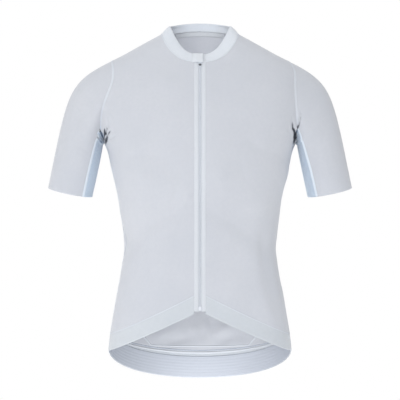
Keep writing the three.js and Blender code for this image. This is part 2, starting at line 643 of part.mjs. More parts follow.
// Garage: a flap from the right-hand binding over the top of the slider.
const GARAGE = {
  from: -14.5, to: 5.5, bottomZ: -61.3, cloth: 1, low: 0.45, high: 2.4, flank: 7,
  columns: 6, chestRows: 2, collarRows: 4,
};
const garageRows = GARAGE.chestRows + GARAGE.collarRows;
const garageLift = (i) => {
  const inwards = (GARAGE.to - GARAGE.from) * i / GARAGE.columns;
  return mix(GARAGE.low, GARAGE.high, soft(inwards / GARAGE.flank));
};
wall('zip_garage', COLOURS.trim, GARAGE.columns, garageRows, (i, j, off) => {
  const x = mix(GARAGE.from, GARAGE.to, i / GARAGE.columns);
  const neckZ = neckAt(neckAngleAtX(Math.abs(x))).z;
  const side = x < 0 ? -1 : 1;
  if (j < GARAGE.chestRows) {
    return torso(mix(GARAGE.bottomZ, neckZ, j / GARAGE.chestRows), angleAt(x, neckZ), side, off);
  }
  const across = Math.abs(x);
  const h = (j - GARAGE.chestRows) / GARAGE.collarRows;
  return collar(neckAngleAtX(across), topAngleAtX(across), h, side, off);
}, (i) => garageLift(i) + GARAGE.cloth, garageLift);

// Retainer box at the foot of the zip.
const BOX = { z: -532, length: 8, halfWidth: 2.9, low: 0.2, high: 1.8 };
const boxFrame = zipFrame(BOX.z);
const box = add('zip_box', COLOURS.trim, new THREE.BoxGeometry(
  2 * BOX.halfWidth, BOX.high - BOX.low, BOX.length,
).translate(0, (BOX.high + BOX.low) / 2, 0), 0.45, 0);
placeOnZip(box, BOX.z, acrossZip, boxFrame.out, boxFrame.along);

export default jersey;
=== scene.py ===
# %% [markdown]
# # A short-sleeved cycling jersey
#
# The jersey is cut from thin knitted panels and hangs as if it were worn. In this lesson each panel is
# a surface worked out with numpy: a function takes two numbers, how far round and how far up, and gives
# a point. The same functions place the seams, the stitches and the zip, so everything meets.

# %% Start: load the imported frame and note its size
import math

import bpy
import numpy as np
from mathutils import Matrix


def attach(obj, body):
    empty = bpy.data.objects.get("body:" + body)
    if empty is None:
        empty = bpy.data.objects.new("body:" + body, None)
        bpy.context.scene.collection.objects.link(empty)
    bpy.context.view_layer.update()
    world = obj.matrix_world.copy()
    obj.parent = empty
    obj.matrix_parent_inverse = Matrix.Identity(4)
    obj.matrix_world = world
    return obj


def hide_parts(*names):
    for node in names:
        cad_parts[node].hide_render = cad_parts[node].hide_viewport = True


MM = 0.001
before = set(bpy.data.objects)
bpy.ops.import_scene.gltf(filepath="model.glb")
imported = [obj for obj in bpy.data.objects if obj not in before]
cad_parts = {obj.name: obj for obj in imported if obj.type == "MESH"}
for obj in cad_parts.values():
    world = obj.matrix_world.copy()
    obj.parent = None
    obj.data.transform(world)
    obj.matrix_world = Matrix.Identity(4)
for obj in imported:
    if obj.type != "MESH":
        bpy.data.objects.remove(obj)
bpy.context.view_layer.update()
scene = bpy.context.scene
print("the frame holds", len(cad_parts), "nodes")

# %% [markdown]
# ## The camera
#
# The picture is a level front view. A long lens 3.4 m away gives nearly parallel lines, and one pixel
# of a 400 pixel wide picture is 1.96 mm at the middle of the garment. That sets the focal length.

# %% Camera
PICTURE_PIXELS = 400
PIXEL_SIZE = 1.96 * MM
EYE_DISTANCE = 3.4
SENSOR = 36.0
ORIGIN_ROW = 33.9
eye = bpy.data.cameras.new("eye")
eye.sensor_width = SENSOR
eye.lens = SENSOR * EYE_DISTANCE / (PICTURE_PIXELS * PIXEL_SIZE)
camera = bpy.data.objects.new("camera", eye)
camera.location = (0, -EYE_DISTANCE, (ORIGIN_ROW - PICTURE_PIXELS / 2) * PIXEL_SIZE)
camera.rotation_euler = (math.radians(90), 0, 0)
scene.collection.objects.link(camera)
scene.camera = camera
print("focal length", round(eye.lens, 1), "mm")

# %% [markdown]
# ## Light and stage
#
# Product pictures on white are nearly shadowless: a bright even surround, a large soft light in front
# and to the left, and weaker ones beside, above and behind. Narrow lights reach into the neck and
# under the hem. The surround shows as plain white, and lights the cloth a little less brightly than
# it shows, so that the folds keep some shade. Below lies a wide pale floor.

# %% Lights
scene.view_settings.view_transform = "Standard"
SURROUND_LIGHT = 0.6
world = bpy.data.worlds.new("surround")
scene.world = world
world.use_nodes = True
sky = world.node_tree.nodes
sky["Background"].inputs["Color"].default_value = (0.97, 0.985, 1, 1)
sky["Background"].inputs["Strength"].default_value = SURROUND_LIGHT
plain_white = sky.new("ShaderNodeBackground")
plain_white.inputs["Color"].default_value = (1, 1, 1, 1)
seen = sky.new("ShaderNodeLightPath")
either = sky.new("ShaderNodeMixShader")
join = world.node_tree.links.new
join(seen.outputs["Is Camera Ray"], either.inputs[0])
join(sky["Background"].outputs[0], either.inputs[1])
join(plain_white.outputs[0], either.inputs[2])
join(either.outputs[0], sky["World Output"].inputs["Surface"])

SOFT_LIGHTS = [
    # name, place in metres, size in metres, watts
    ("front", (-0.75, -3.2, 0.6), 2.2, 43),
    ("side", (-2.8, -0.5, 0.3), 2.0, 4),
    ("top", (-0.2, 0.3, 2.2), 1.8, 6),
    ("back", (-0.4, 3.0, 0.4), 2.4, 30),
]
OPENING_LIGHTS = [
    # name, place, aim, angle of the cone in degrees, radius in metres, watts
    ("neck_light", (0, -2.2, 0.55), (0, 0.04, -0.005), 9, 0.25, 24),
    ("neck_inside", (0, -0.09, -0.17), (0, 0.1, -0.03), 60, 0.03, 0.75),
    ("hem_light", (0, -0.08, -0.93), (0, 0.105, -0.555), 54, 0.05, 2.2),
]
GARMENT_MIDDLE = (0, 0, -0.3)


def put_lamp(name, kind, place, aim, watts):
    """Hangs a lamp at a place and turns it towards its aim."""
    lamp = bpy.data.objects.new(name, bpy.data.lights.new(name, kind))
    lamp.data.energy = watts
    lamp.location = place
    x, y, z = (a - b for a, b in zip(place, aim))
    lamp.rotation_euler = (math.atan2(math.hypot(x, y), z), 0, math.atan2(y, x) + math.pi / 2)
    scene.collection.objects.link(lamp)
    return lamp


for name, place, size, watts in SOFT_LIGHTS:
    put_lamp(name, "AREA", place, GARMENT_MIDDLE, watts).data.size = size
for name, place, aim, angle, radius, watts in OPENING_LIGHTS:
    lamp = put_lamp(name, "SPOT", place, aim, watts)
    lamp.data.spot_size = math.radians(angle)
    lamp.data.spot_blend = 1
    lamp.data.shadow_soft_size = radius
    lamp.visible_camera = False
print(len(SOFT_LIGHTS) + len(OPENING_LIGHTS), "soft lights")

# %% [markdown]
# ## Shader maths
#
# A material is a graph of nodes. Writing each node by hand hides the idea, so a wire knows how to add,
# subtract and multiply: each sum on values makes one Math node. Every other kind of node comes from
# one method that takes the node's type, its settings and what goes into its sockets.

# %% Wires and boards
class Wire:
    """The output of a node, with sums that each add a Math node."""

    def __init__(self, board, socket):
        self.board = board
        self.socket = socket

    def math(self, operation, first, second=0.0):
        inputs = {0: first, 1: second}
        return self.board.node("ShaderNodeMath", {"operation": operation}, inputs)

    def __add__(self, other):
        return self.math("ADD", self, other)

    def __sub__(self, other):
        return self.math("SUBTRACT", self, other)

    def __rsub__(self, other):
        return self.math("SUBTRACT", other, self)

    def __mul__(self, other):
        return self.math("MULTIPLY", self, other)

    __radd__ = __add__
    __rmul__ = __mul__

    def wave(self):
        return self.math("SINE", self)

    def size(self):
        return self.math("ABSOLUTE", self)


class Board:
    """One material's nodes."""

    def __init__(self, name):
        self.material = bpy.data.materials.new(name)
        self.material.use_nodes = True
        self.tree = self.material.node_tree
        self.tree.nodes.clear()

    def node(self, kind, settings=None, inputs=None, out=0):
        """Makes a node: its settings first, then what goes into its sockets. Gives one output's wire."""
        made = self.tree.nodes.new(kind)
        for key, value in (settings or {}).items():
            setattr(made, key, value)
        for key, value in (inputs or {}).items():
            if isinstance(value, Wire):
                self.tree.links.new(value.socket, made.inputs[key])
            else:
                made.inputs[key].default_value = value
        return Wire(self, made.outputs[out]) if len(made.outputs) else None

    def on_cloth(self):
        """The two distances along the cloth, in metres."""
        place = self.node("ShaderNodeUVMap", {"uv_map": "cloth"})
        parts = [self.node("ShaderNodeSeparateXYZ", None, {0: place}, out) for out in (0, 1)]
        return parts[0], parts[1]

    def noise(self, scale, detail=2.0):
        place = self.node("ShaderNodeTexCoord", None, None, "Object")
        return self.node("ShaderNodeTexNoise", None, {"Vector": place, "Scale": scale, "Detail": detail})

    def paint_fold_shade(self, colour, dark):
        """Painted shade for the armpits' deepest folds: their share of it, kept on the mesh, darkens the
        colour.
        """
        painted_fold_shade = self.node("ShaderNodeAttribute", {"attribute_name": "painted_fold_shade"}, None, 2)
        return self.colours(self.step(painted_fold_shade, 0.0, 1.0), colour, dark)

    def step(self, value, low, high):
        """Rises from 0 to 1 as the value goes from low to high."""
        settings = {"interpolation_type": "SMOOTHSTEP"}
        return self.node("ShaderNodeMapRange", settings, {"Value": value, 1: low, 2: high})

    def colours(self, factor, first, second):
        """From the first colour to the second as the factor goes from 0 to 1."""
        inputs = {0: factor, 6: first, 7: second}
        return self.node("ShaderNodeMix", {"data_type": "RGBA"}, inputs, 2)

    def finish(self, colour, rough, height=None, depth=0.0, sheen=0.0, metal=0.0, thin=0.0):
        """Thin is the share of light that goes into the cloth and comes out again near by or on its
        far side, over about the thickness of a panel."""
        inputs = {"Base Color": colour, "Roughness": rough, "Metallic": metal, "Sheen Weight": sheen}
        inputs["Sheen Roughness"] = 0.6
        if thin:
            inputs["Subsurface Weight"] = thin
            inputs["Subsurface Radius"] = (1, 1, 1)
            inputs["Subsurface Scale"] = 1.5 * MM
        if height is not None:
            bump = {"Height": height, "Distance": depth, "Strength": 1.0}
            inputs["Normal"] = self.node("ShaderNodeBump", None, bump)
        surface = self.node("ShaderNodeBsdfPrincipled", None, inputs)
        self.node("ShaderNodeOutputMaterial", None, {"Surface": surface})
        return self.material


def rgb(red, green, blue):
    """A colour as it shows on a screen, 0 to 255, turned into the light that it stands for."""
    share = np.array([red, green, blue]) / 255
    linear = np.where(share > 0.04045, ((share + 0.055) / 1.055) ** 2.4, share / 12.92)
    return (*linear.tolist(), 1.0)


# %% [markdown]
# ## The finishes
#
# The body is a fine warp knit: columns of tiny loops under a millimetre wide, matt, with a faint
# halo of fibre at the edges. The underarm mesh has staggered eyelets. Bands and tapes are smoother.
# The patterns run on the cloth's own distances, so they follow every panel round the body.

# %% Cloth finishes
TURN = 2 * math.pi
# Colours of the painted shade that darkens the knit, its seams and the mesh in the deepest armpit folds.
PAINTED_SHADE_COLOUR = rgb(38, 47, 60)
MESH_PAINTED_SHADE_COLOUR = rgb(66, 88, 120)
CLOTH_THIN = 0.6
SMALL_SPECKLE = 600.0


def knit_finish(name, colour, shade, wale, course, depth):
    """Loops stand in columns one wale apart and rows one course apart: a ripple of |sin| times a
    ripple of sin gives the relief, and broad noise makes the colour drift a little."""
    board = Board(name)
    across, along = board.on_cloth()
    columns = (across * (math.pi / wale)).wave().size()
    rows = (along * (TURN / course) + columns * 1.6).wave()
    relief = columns * 0.7 + rows * 0.3
    # The drift also takes a little of the relief, so the colour is lighter on the raised loops and darker
    # between them: painted shade.
    drift = board.noise(9.0, 3.0) * 0.5 + board.noise(160.0, 1.0) * 0.25 + relief * 0.12
    # The deepest armpit folds darken the colour with painted shade.
    colour = board.paint_fold_shade(board.colours(board.step(drift, 0.25, 0.75), shade, colour), PAINTED_SHADE_COLOUR)
    rough = 0.86 + board.noise(300.0) * 0.06
    return board.finish(colour, rough, relief, depth, 0.25, thin=CLOTH_THIN)


def eyelet_finish(name, colour, hole, pitch):
    """cos times cos has its peaks on a staggered lattice, and each peak above a level is an eyelet."""
    board = Board(name)
    across, along = board.on_cloth()
    lattice = (across * (TURN / pitch) + math.pi / 2).wave()
    lattice = lattice * (along * (TURN / (1.25 * pitch)) + math.pi / 2).wave()
    eyelets = board.step(lattice, 0.3, 0.62)
    threads = (along * (TURN / (pitch / 4))).wave() * 0.12
    drift = board.noise(14.0, 3.0) * 0.25
    # The eyelets are painted the darker colour, as painted shade for the shaded inside seen through them, and
    # the deepest armpit folds get painted shade too.
    colour = board.paint_fold_shade(board.colours(eyelets * 0.8 + drift, colour, hole), MESH_PAINTED_SHADE_COLOUR)
    return board.finish(colour, 0.88, threads - eyelets, 0.35 * MM, 0.2, thin=CLOTH_THIN)


def tape_finish(name, colour, shade, pitch):
    """A woven tape: fine slanting ribs across its width."""
    board = Board(name)
    across, along = board.on_cloth()
    ribs = ((along + across * 0.6) * (TURN / pitch)).wave()
    # The ribs also set the colour, lighter on their crests and darker between them: painted shade.
    colour = board.colours(board.step(ribs + board.noise(40.0), -0.6, 1.4), shade, colour)
    return board.finish(colour, 0.8, ribs, 0.06 * MM, 0.15)


KNITS = [
    # name, colour, shade, wale, course and depth of the relief in millimetres
    ("body_knit", (211, 213, 219), (203, 206, 213), 0.9, 0.75, 0.05),
    ("band_knit", (212, 216, 221), (204, 209, 215), 1.5, 0.6, 0.05),
    ("collar_knit", (227, 231, 237), (220, 225, 232), 0.8, 0.8, 0.04),
]
knit, band_knit, collar_knit = (
    knit_finish(name, rgb(*colour), rgb(*shade), *(size * MM for size in sizes))
    for name, colour, shade, *sizes in KNITS
)
# The second colour is painted shade: the eyelets' colour, for the inside of the garment seen through them.
mesh_knit = eyelet_finish("mesh_knit", rgb(219, 232, 246), rgb(150, 172, 203), 2.2 * MM)
tape = tape_finish("tape", rgb(222, 226, 232), rgb(212, 216, 223), 0.8 * MM)

# %% [markdown]
# Thread, nylon and the zip's metal have no weave. Each gets a little noise, because nothing real is
# one flat colour.

# %% Hard and thread finishes
def plain_finish(name, colour, shade, rough, metal=0.0, scale=220.0):
    """Two near colours mixed by fine noise, which also roughens the surface a little."""
    board = Board(name)
    speckle = board.noise(scale, 3.0)
    # Seams and small parts also take painted shade in the deepest armpit folds.
    mixed = board.paint_fold_shade(board.colours(speckle, shade, colour), PAINTED_SHADE_COLOUR)
    return board.finish(mixed, rough + speckle * 0.12, speckle, 0.02 * MM, 0.0, metal)


SEAM_FINISHES = [
    ("welt_thread", rgb(222, 226, 233), rgb(214, 219, 226), 0.75),
    ("armhole_thread", rgb(220, 224, 231), rgb(213, 217, 225), 0.8),
    ("mesh_thread", rgb(233, 241, 250), rgb(224, 234, 246), 0.75),
    # Not a thread: a thin dark strip of painted shadow just above the hem band's seam inside the back.
    ("painted_shadow_line", rgb(190, 197, 209), rgb(176, 183, 196), 0.8),
]
threads = [plain_finish(*row, scale=SMALL_SPECKLE) for row in SEAM_FINISHES]
welt_thread, armhole_thread, mesh_thread, painted_shadow_line = threads
gripper_band = plain_finish("gripper_band", rgb(200, 205, 215), rgb(192, 198, 209), 0.7, scale=400.0)
thread = plain_finish("thread", rgb(230, 234, 241), rgb(216, 221, 230), 0.7)
nylon = plain_finish("nylon", rgb(232, 236, 243), rgb(218, 223, 232), 0.42)
painted = plain_finish("painted_metal", rgb(224, 229, 237), rgb(212, 218, 228), 0.3, 0.1)
black = plain_finish("black_metal", rgb(15, 16, 20), rgb(9, 9, 12), 0.5)
board = Board("floor")
white = board.node("ShaderNodeBsdfPrincipled", None, {
    "Base Color": (0.9, 0.9, 0.9, 1), "Roughness": 0.9,
    "Emission Color": (1, 1, 1, 1), "Emission Strength": 0.3,
})
board.node("ShaderNodeOutputMaterial", None, {"Surface": white})
floor_finish = board.material
print(len(bpy.data.materials), "materials")

# %% [markdown]
# ## The figure
#
# A jersey that is worn takes the figure's shape. Level sections of a torso are close to squared
# ellipses, so the torso is a short table: at each height its half width, where the breastbone and the
# spine lie, and where the side is. A cubic runs through the rows.

# %% Torso sections
SECTION_ROWS = np.array([
    # z, half width, breastbone y, spine y, side y, all in millimetres
    (30, 19, -20, 70, 14), (0, 76, -36, 80, 14), (-20, 113, -44, 91, 13.5),
    (-40, 148.6, -52.5, 99, 13), (-55, 177, -60, 103, 12), (-75, 199, -71, 107, 11),
    (-100, 209.5, -84, 110, 9), (-130, 212, -97, 112, 7), (-160, 207, -107, 113, 5),
    (-185, 199, -113, 112, 4), (-210, 189, -117, 110.5, 2), (-231, 180.5, -118.5, 108.5, 1.5),
    (-262, 173.8, -118, 104.5, 1), (-294, 166, -115, 99, 0), (-325, 159.3, -111, 94, -1),
    (-357, 155, -106.5, 88.5, -2), (-388, 151, -102, 84.5, -3), (-419, 149, -99, 82.5, -4),
    (-451, 152.5, -97.5, 83.5, -4), (-482, 157, -97.5, 87, -3.5), (-513, 162.8, -98.5, 92, -2.5),
    (-545, 168.6, -100, 98, -1), (-576, 174, -102, 103, 0), (-607, 178.2, -103.5, 107.5, 1),
    (-640, 180, -104, 110.5, 2), (-690, 179, -103, 113, 3),
]) * MM
SECTION = dict(zip(("z", "half", "chest", "spine", "side"), SECTION_ROWS.T))
SQUARENESS = 0.1


def mix(start, end, share):
    """start + (end - start) * share: the value at that share of the way."""
    return start + (end - start) * share


def soft(share):
    """A step with level ends: 3t^2 - 2t^3, held at 0 and 1 outside."""
    share = np.clip(share, 0, 1)
    return share * share * (3 - 2 * share)


def unit(vectors):
    """Each vector divided by its own length."""
    return vectors / np.maximum(np.linalg.norm(vectors, axis=-1, keepdims=True), 1e-12)


def grid(rows, columns):
    """Two arrays: the row's value, and the column's value, at each point of a grid."""
    return np.meshgrid(rows, columns, indexing="ij")


def side_of(x):
    """Minus 1 on the wearer's right and 1 on the left, as the sides of the body are told throughout."""
    return np.where(x < 0, -1, 1)


def row_sides(count, right):
    """The sides of a row of points, whose first ones lie on the wearer's right."""
    return np.where(np.arange(count) < right, -1, 1)


def there_and_back(row):
    """A row and the same row back again, with its last value once."""
    return np.concatenate([row, row[-2::-1]])


def section(key, z):
    """A cubic between two rows, whose slope at each row is the mean of the slopes beside it."""
    rows, column = SECTION["z"], SECTION[key]
    steps = np.diff(column) / np.diff(rows)
    slopes = np.concatenate([steps[:1], (steps[1:] + steps[:-1]) / 2, steps[-1:]])
    k = np.clip(np.searchsorted(-rows, -z) - 1, 0, len(rows) - 2)
    gap = rows[k + 1] - rows[k]
    t = (z - rows[k]) / gap
    start = (2 * t**3 - 3 * t**2 + 1) * column[k] + (t**3 - 2 * t**2 + t) * gap * slopes[k]
    return start + (3 * t**2 - 2 * t**3) * column[k + 1] + (t**3 - t**2) * gap * slopes[k + 1]


def torso_bare(z, angle):
    """x = half width * cos a * (1 + q sin^2 a), y = side - depth * sin a * (1 + q cos^2 a).
    Angle 0 is the side, a quarter turn is the breastbone and minus a quarter turn the spine."""
    z, angle = np.broadcast_arrays(np.asarray(z, float), np.asarray(angle, float))
    c, s = np.cos(angle), np.sin(angle)
    side = section("side", z)
    depth = np.where(s > 0, side - section("chest", z), section("spine", z) - side)
    x = section("half", z) * c * (1 + SQUARENESS * s * s)
    return np.stack([x, side - depth * s * (1 + SQUARENESS * c * c), z], axis=-1)


def angle_at(x, z):
    """The angle at which a section reaches x, by halving the interval."""
    z = np.asarray(z, float)
    want = np.minimum(1, np.abs(x) / section("half", z)) + 0 * z
    low, high = np.zeros_like(want), np.full_like(want, math.pi / 2)
    for _ in range(40):
        middle = (low + high) / 2
        past = np.cos(middle) * (1 + SQUARENESS * np.sin(middle) ** 2) > want
        low, high = np.where(past, middle, low), np.where(past, high, middle)
    return (low + high) / 2


print("the figure has", len(SECTION_ROWS), "level sections")

# %% [markdown]
# ## Creases
#
# Worn knit pulls into a fan of small folds at each armpit, and lies in broad soft folds elsewhere. A
# crease is a bell-shaped trough or ridge along a bowed line that fades at its ends. It moves the cloth
# level, out from the figure or in, by an amount that depends on the place alone, so panels that share
# a seam move together. The folds are placed one by one, uneven in length, depth and spacing.

# %% Crease tables, in millimetres
PIT = (189.0, -210.0)
FOLD_LIMIT = 9.0
FRONT_LEAN = 0.2
# The zip's metal head keeps the cloth under it still, so the pull's hinge stays where the solids have it.
ZIP_HEAD_Z, ZIP_HEAD_STILL, ZIP_HEAD_EASE = -64.5, 9.0, 16.0
# Where the folds of the arm, of the armpit, and of the front or back start, and over what they grow.
ARM_FROM, ARM_EASE = 196, 22
PIT_FROM, PIT_EASE = 150, 12
SEAM_Y, SEAM_EASE = 4, 9
# The sleeve's axis: its x at a height, how much that leans outwards for each millimetre down, its y.
AXIS_X, AXIS_Z, AXIS_LEAN, AXIS_Y = 254.5, -310, 0.207, 5
PIT_FOLDS = {
    # By side. Each row: start inwards and up from the pit, end inwards and up, width, depth, bow.
    -1: [
        (9.8, 8, 4.0, -8, 2.3, -9.0, 0.3), (3.0, -1, -6.5, 27, 2.0, -6.8, -0.9),
        (3.0, 0, 4.6, 29, 1.9, -5.8, 0.3), (6.4, 6, 10.4, 27, 1.9, -4.8, -0.4),
        (7.4, 2, 18, 20, 1.8, -4.4, -0.9), (-12, 10, 1.5, -8, 3.4, -4.4, 0.6),
        (-1.6, 12, -1.0, 28, 1.3, 1.8, 0.3), (6.6, 13, 7.6, 28, 1.2, 1.6, -0.2),
        (6.8, 12, 6.2, 5, 1.2, 2.4, 0.3), (-9.5, 19, -2.0, 4, 2.2, 2.2, 0.6),
        (13, 26, 9, 44, 2.6, -1.4, 0.8), (12, 1, 26, 9, 2.6, -1.5, 0.8),
        (-9, 20, -15, 40, 2.8, -1.3, 1.2),
    ],
    1: [
        (4.8, -8, 7.6, 26, 2.2, -7.6, -0.9), (-0.6, 0, 11.4, 24, 1.9, -4.6, -1.0),
        (3.4, 3, 1.0, 23, 1.7, -4.2, 0.2), (1.4, 14, -0.6, 31, 1.7, -5.0, 0.1),
        (-0.4, 22, -6.4, 50, 1.6, -4.2, -0.7), (9.8, 12, 11.9, 44, 1.8, -3.9, -0.4),
        (7.0, 2, 7.8, -18, 2.0, -3.6, 0.3), (2.4, 12, 3.2, 30, 1.3, 2.0, 0.3),
        (8.6, 10, 9.4, 24, 1.5, 1.6, 0.4), (-4, 12, -9, 34, 2.0, -1.7, 0.6),
        (15, 8, 22, 30, 2.6, -1.3, 0.9), (-9, 4, -1, -6, 2.6, -1.8, 0.6),
    ],
}
FRONT_FOLDS = [
    # start x and z, end x and z, width, depth, bow. The first five draw the arch over the belly.
    (-156, -439, -14, -330, 26, -8.8, -18), (-30, -337, 128, -420, 28, -6.2, -19),
    (100, -356, 172, -258, 18, 5.4, 3), (106, -466, 104, -362, 18, 4.0, -3),
    (144, -572, 106, -456, 16, 4.6, -5), (124, -372, 130, -480, 12, -2.4, 3),
    (-146, -266, -50, -318, 22, 3.6, -6), (10, -300, 84, -280, 22, 3.0, -5),
    (-108, -450, -140, -560, 16, 2.2, -6), (-70, -430, -64, -520, 22, 2.0, 4),
    (60, -455, 48, -540, 20, 1.8, -5), (-160, -236, -96, -214, 12, 1.8, 5),
    (158, -240, 84, -206, 13, -2.2, -6), (-150, -226, -70, -236, 15, -1.8, 6),
    (-34, -120, -96, -86, 15, 1.6, 4), (40, -118, 104, -92, 16, 1.4, -4),
    (-120, -586, -36, -540, 12, -1.2, 5), (118, -582, 40, -538, 13, -1.4, -5),
    (150, -400, 156, -500, 9, -1.6, 3), (-152, -380, -148, -440, 9, -1.2, -3),
]
BACK_FOLDS = [
    (-146, -372, -18, -398, 13, -3.4, 5), (140, -366, 26, -404, 14, -3.0, -6),
    (-120, -398, 40, -424, 12, 2.8, 4), (96, -392, -8, -428, 12, -2.2, -5),
    (-150, -262, -44, -214, 20, 3.0, 8), (150, -254, 40, -206, 19, 2.7, -8),
    (-112, -120, -28, -168, 19, -2.4, -6), (108, -124, 30, -174, 18, -2.1, 6),
    (-60, -300, 8, -348, 17, 2.1, 6), (70, -296, 34, -360, 16, -1.9, -6),
    (-160, -470, -120, -560, 13, 1.8, 4), (158, -462, 126, -570, 13, -1.8, -4),
    (-40, -30, -104, -64, 12, 1.3, 3), (44, -32, 110, -70, 12, -1.2, -3),
]
HEM_INSIDE_FOLDS = [
    (-110, -606, -34, -574, 9, -1.9, 4), (-78, -616, -6, -598, 8, 2.2, 3),
    (16, -606, 84, -572, 9, -1.9, -4), (30, -616, 92, -598, 8, 2.0, -3),
    (-26, -590, 20, -576, 10, -1.3, 2), (-120, -596, -100, -570, 6, 1.5, 2),
]
SLEEVE_FOLDS = [
    # The same on each sleeve: start x and z, end x and z, width, depth, bow.
    (214, -236, 246, -196, 7, -1.1, 3), (222, -268, 262, -214, 9, 0.9, 4), (206, -214, 232, -172, 6, 1.0, -2),
    (232, -150, 262, -186, 12, -0.8, 4), (220, -292, 282, -270, 8, -0.6, -3),
]


def crease_height(x, z, folds, lean=0.0):
    """Sum over the folds of depth * exp(-(distance / width)^2) * sin(pi * share along)^0.8. The lean
    makes the width greater by that share on the left of the fold's line and less on its right."""
    total = np.zeros_like(x)
    for x0, z0, x1, z1, width, depth, bow in folds:
        long = math.hypot(x1 - x0, z1 - z0)
        share = ((x - x0) * (x1 - x0) + (z - z0) * (z1 - z0)) / long**2
        inside = np.clip(share, 0, 1)
        arch = bow * 4 * inside * (1 - inside)
        across = ((x - x0) * (z1 - z0) - (z - z0) * (x1 - x0)) / long - arch
        uneven = 1 + 0.25 * np.sin(9 * inside + x0)
        reach = width * (1 - lean * np.sign(across))
        total += depth * uneven * np.exp(-((across / reach) ** 2)) * np.sin(math.pi * inside) ** 0.8
    return total


def arm_share(x):
    """0 on the torso and 1 on the arm: a soft step of the distance from the middle plane."""
    return soft((np.abs(x) - ARM_FROM) / ARM_EASE)


def front_and_back(y):
    """How much a place counts as front and how much as back: two soft steps of y."""
    return soft((SEAM_Y - y) / SEAM_EASE), soft((y - SEAM_Y) / SEAM_EASE)


def fold_way(x, y, z, arm):
    """The way out from the figure: the gradient of the section's ellipse on the torso, and the way
    from the sleeve's axis on the arm. It depends on the place alone."""
    half, middle = section("half", z * MM) / MM, section("side", z * MM) / MM
    chest, spine = section("chest", z * MM) / MM, section("spine", z * MM) / MM
    depth = np.where(y < middle, middle - chest, spine - middle)
    body = unit(np.stack([x / half**2, (y - middle) / depth**2], axis=-1))
    axis_x = AXIS_X - AXIS_LEAN * (z - AXIS_Z)
    limb = unit(np.stack([x - np.sign(x) * axis_x, y - AXIS_Y], axis=-1))
    return unit(mix(body, limb, arm[..., None]))


def pit_level(x, y, z):
    """How far out the folds of the armpits lift the cloth at a place, in millimetres, held within a
    limit by tanh."""
    front, back = front_and_back(y)
    out = np.zeros_like(x)
    for side in (-1, 1):
        here = soft((x * side - PIT_FROM) / PIT_EASE)
        inwards, up = PIT[0] - x * side, z - PIT[1]
        out += crease_height(inwards, up, PIT_FOLDS[side]) * here * front
        out += crease_height(inwards, up, PIT_FOLDS[-side]) * here * back
    return FOLD_LIMIT * np.tanh(out / FOLD_LIMIT)


def fold_level(x, y, z):
    """The same for all the folds together, with the ripple that worn cloth has everywhere but under
    the zip's head."""
    arm = arm_share(x)
    front, back = front_and_back(y)
    out = pit_level(x, y, z)
    out += crease_height(x, z, FRONT_FOLDS, FRONT_LEAN) * front * (1 - arm)
    out += crease_height(x, z, BACK_FOLDS) * back * (1 - arm)
    out += crease_height(x, z, HEM_INSIDE_FOLDS) * back
    for side in (-1, 1):
        out += crease_height(x * side, z, SLEEVE_FOLDS) * arm * (x * side > 0) * (front + back)
    ripple = 0.35 * np.sin(x / 31 + z / 47) + 0.3 * np.sin(z / 23 - x / 58 + 1.3)
    out += (ripple + 0.2 * np.sin(x / 19 + z / 71) * back) * (front + back) * (1 - arm)
    free = soft((np.hypot(x, z - ZIP_HEAD_Z) - ZIP_HEAD_STILL) / ZIP_HEAD_EASE)
    return out * mix(1, free, front)


def creased(points):
    """The folds' move of each point: the level times the way out, in metres."""
    x, y, z = np.moveaxis(points / MM, -1, 0)
    arm = arm_share(x)
    way = fold_way(x, y, z, arm) * (fold_level(x, y, z) * MM)[..., None]
    return np.stack([way[..., 0], way[..., 1], np.zeros_like(x)], axis=-1)


ALL_FOLDS = [FRONT_FOLDS, BACK_FOLDS, HEM_INSIDE_FOLDS, SLEEVE_FOLDS, *PIT_FOLDS.values()]
print("folds by hand:", sum(map(len, ALL_FOLDS)))

# %% [markdown]
# ## Placing a point
#
# Each surface gives a bare point and two directions along itself. Their cross product is the outward
# normal. A piece that lies on a panel is the same surface moved out along it.

# %% Surfaces of the torso, the collar and the sleeves
HEM_SIDE_Z = -619 * MM
HEM_FRONT_RISE = 82.5 * MM
HEM_BACK_DROP = 66 * MM
FRONT_BAND = (34 * MM, 32 * MM)
BACK_BAND = (53 * MM, 42 * MM)
NECK_HALF_WIDTH = 76 * MM
NECK_FRONT_DROP = 59 * MM
NECK_FRONT_POWER = 2.2
NECK_FRONT_EASE = 1.4
NECK_BACK_RISE = 12 * MM
PIT_Z = -210 * MM
ARMHOLE_TOP_Z = -52 * MM
ZIP_INNER_EDGE = 3.2 * MM
ZIP_OUTER_EDGE = 11 * MM
ANGLE_STEP, HEIGHT_STEP = 1e-3, 1e-4
NECK_END = math.radians(-50)
SEAM_PHI = math.radians(200)
QUARTER = math.pi / 2


def placed(bare, across, up, side, off):
    """Mirrors a bare point to its side, adds the folds, and moves it out along the normal."""
    mirror = np.ones(bare.shape)
    mirror[..., 0] = side
    normal = unit(np.cross(across, up)) * mirror
    base = bare * mirror
    return base + creased(base) + normal * np.asarray(off)[..., None]


def torso(z, angle, side=1, off=0.0):
    """The section's point, placed. Its two directions are differences between near points."""
    z, angle = np.broadcast_arrays(np.asarray(z, float), np.asarray(angle, float))
    across = torso_bare(z, angle - ANGLE_STEP) - torso_bare(z, angle + ANGLE_STEP)
    up = torso_bare(z + HEIGHT_STEP, angle) - torso_bare(z - HEIGHT_STEP, angle)
    return placed(torso_bare(z, angle), across, up, side, off)


def hem_z(angle):
    """The front hem rises in a straight line in x towards the zip, and the back one drops with sin."""
    width = np.cos(angle) * (1 + SQUARENESS * np.sin(angle) ** 2)
    front = HEM_SIDE_Z + HEM_FRONT_RISE * (1 - width)
    return np.where(angle >= 0, front, HEM_SIDE_Z + HEM_BACK_DROP * np.sin(angle))


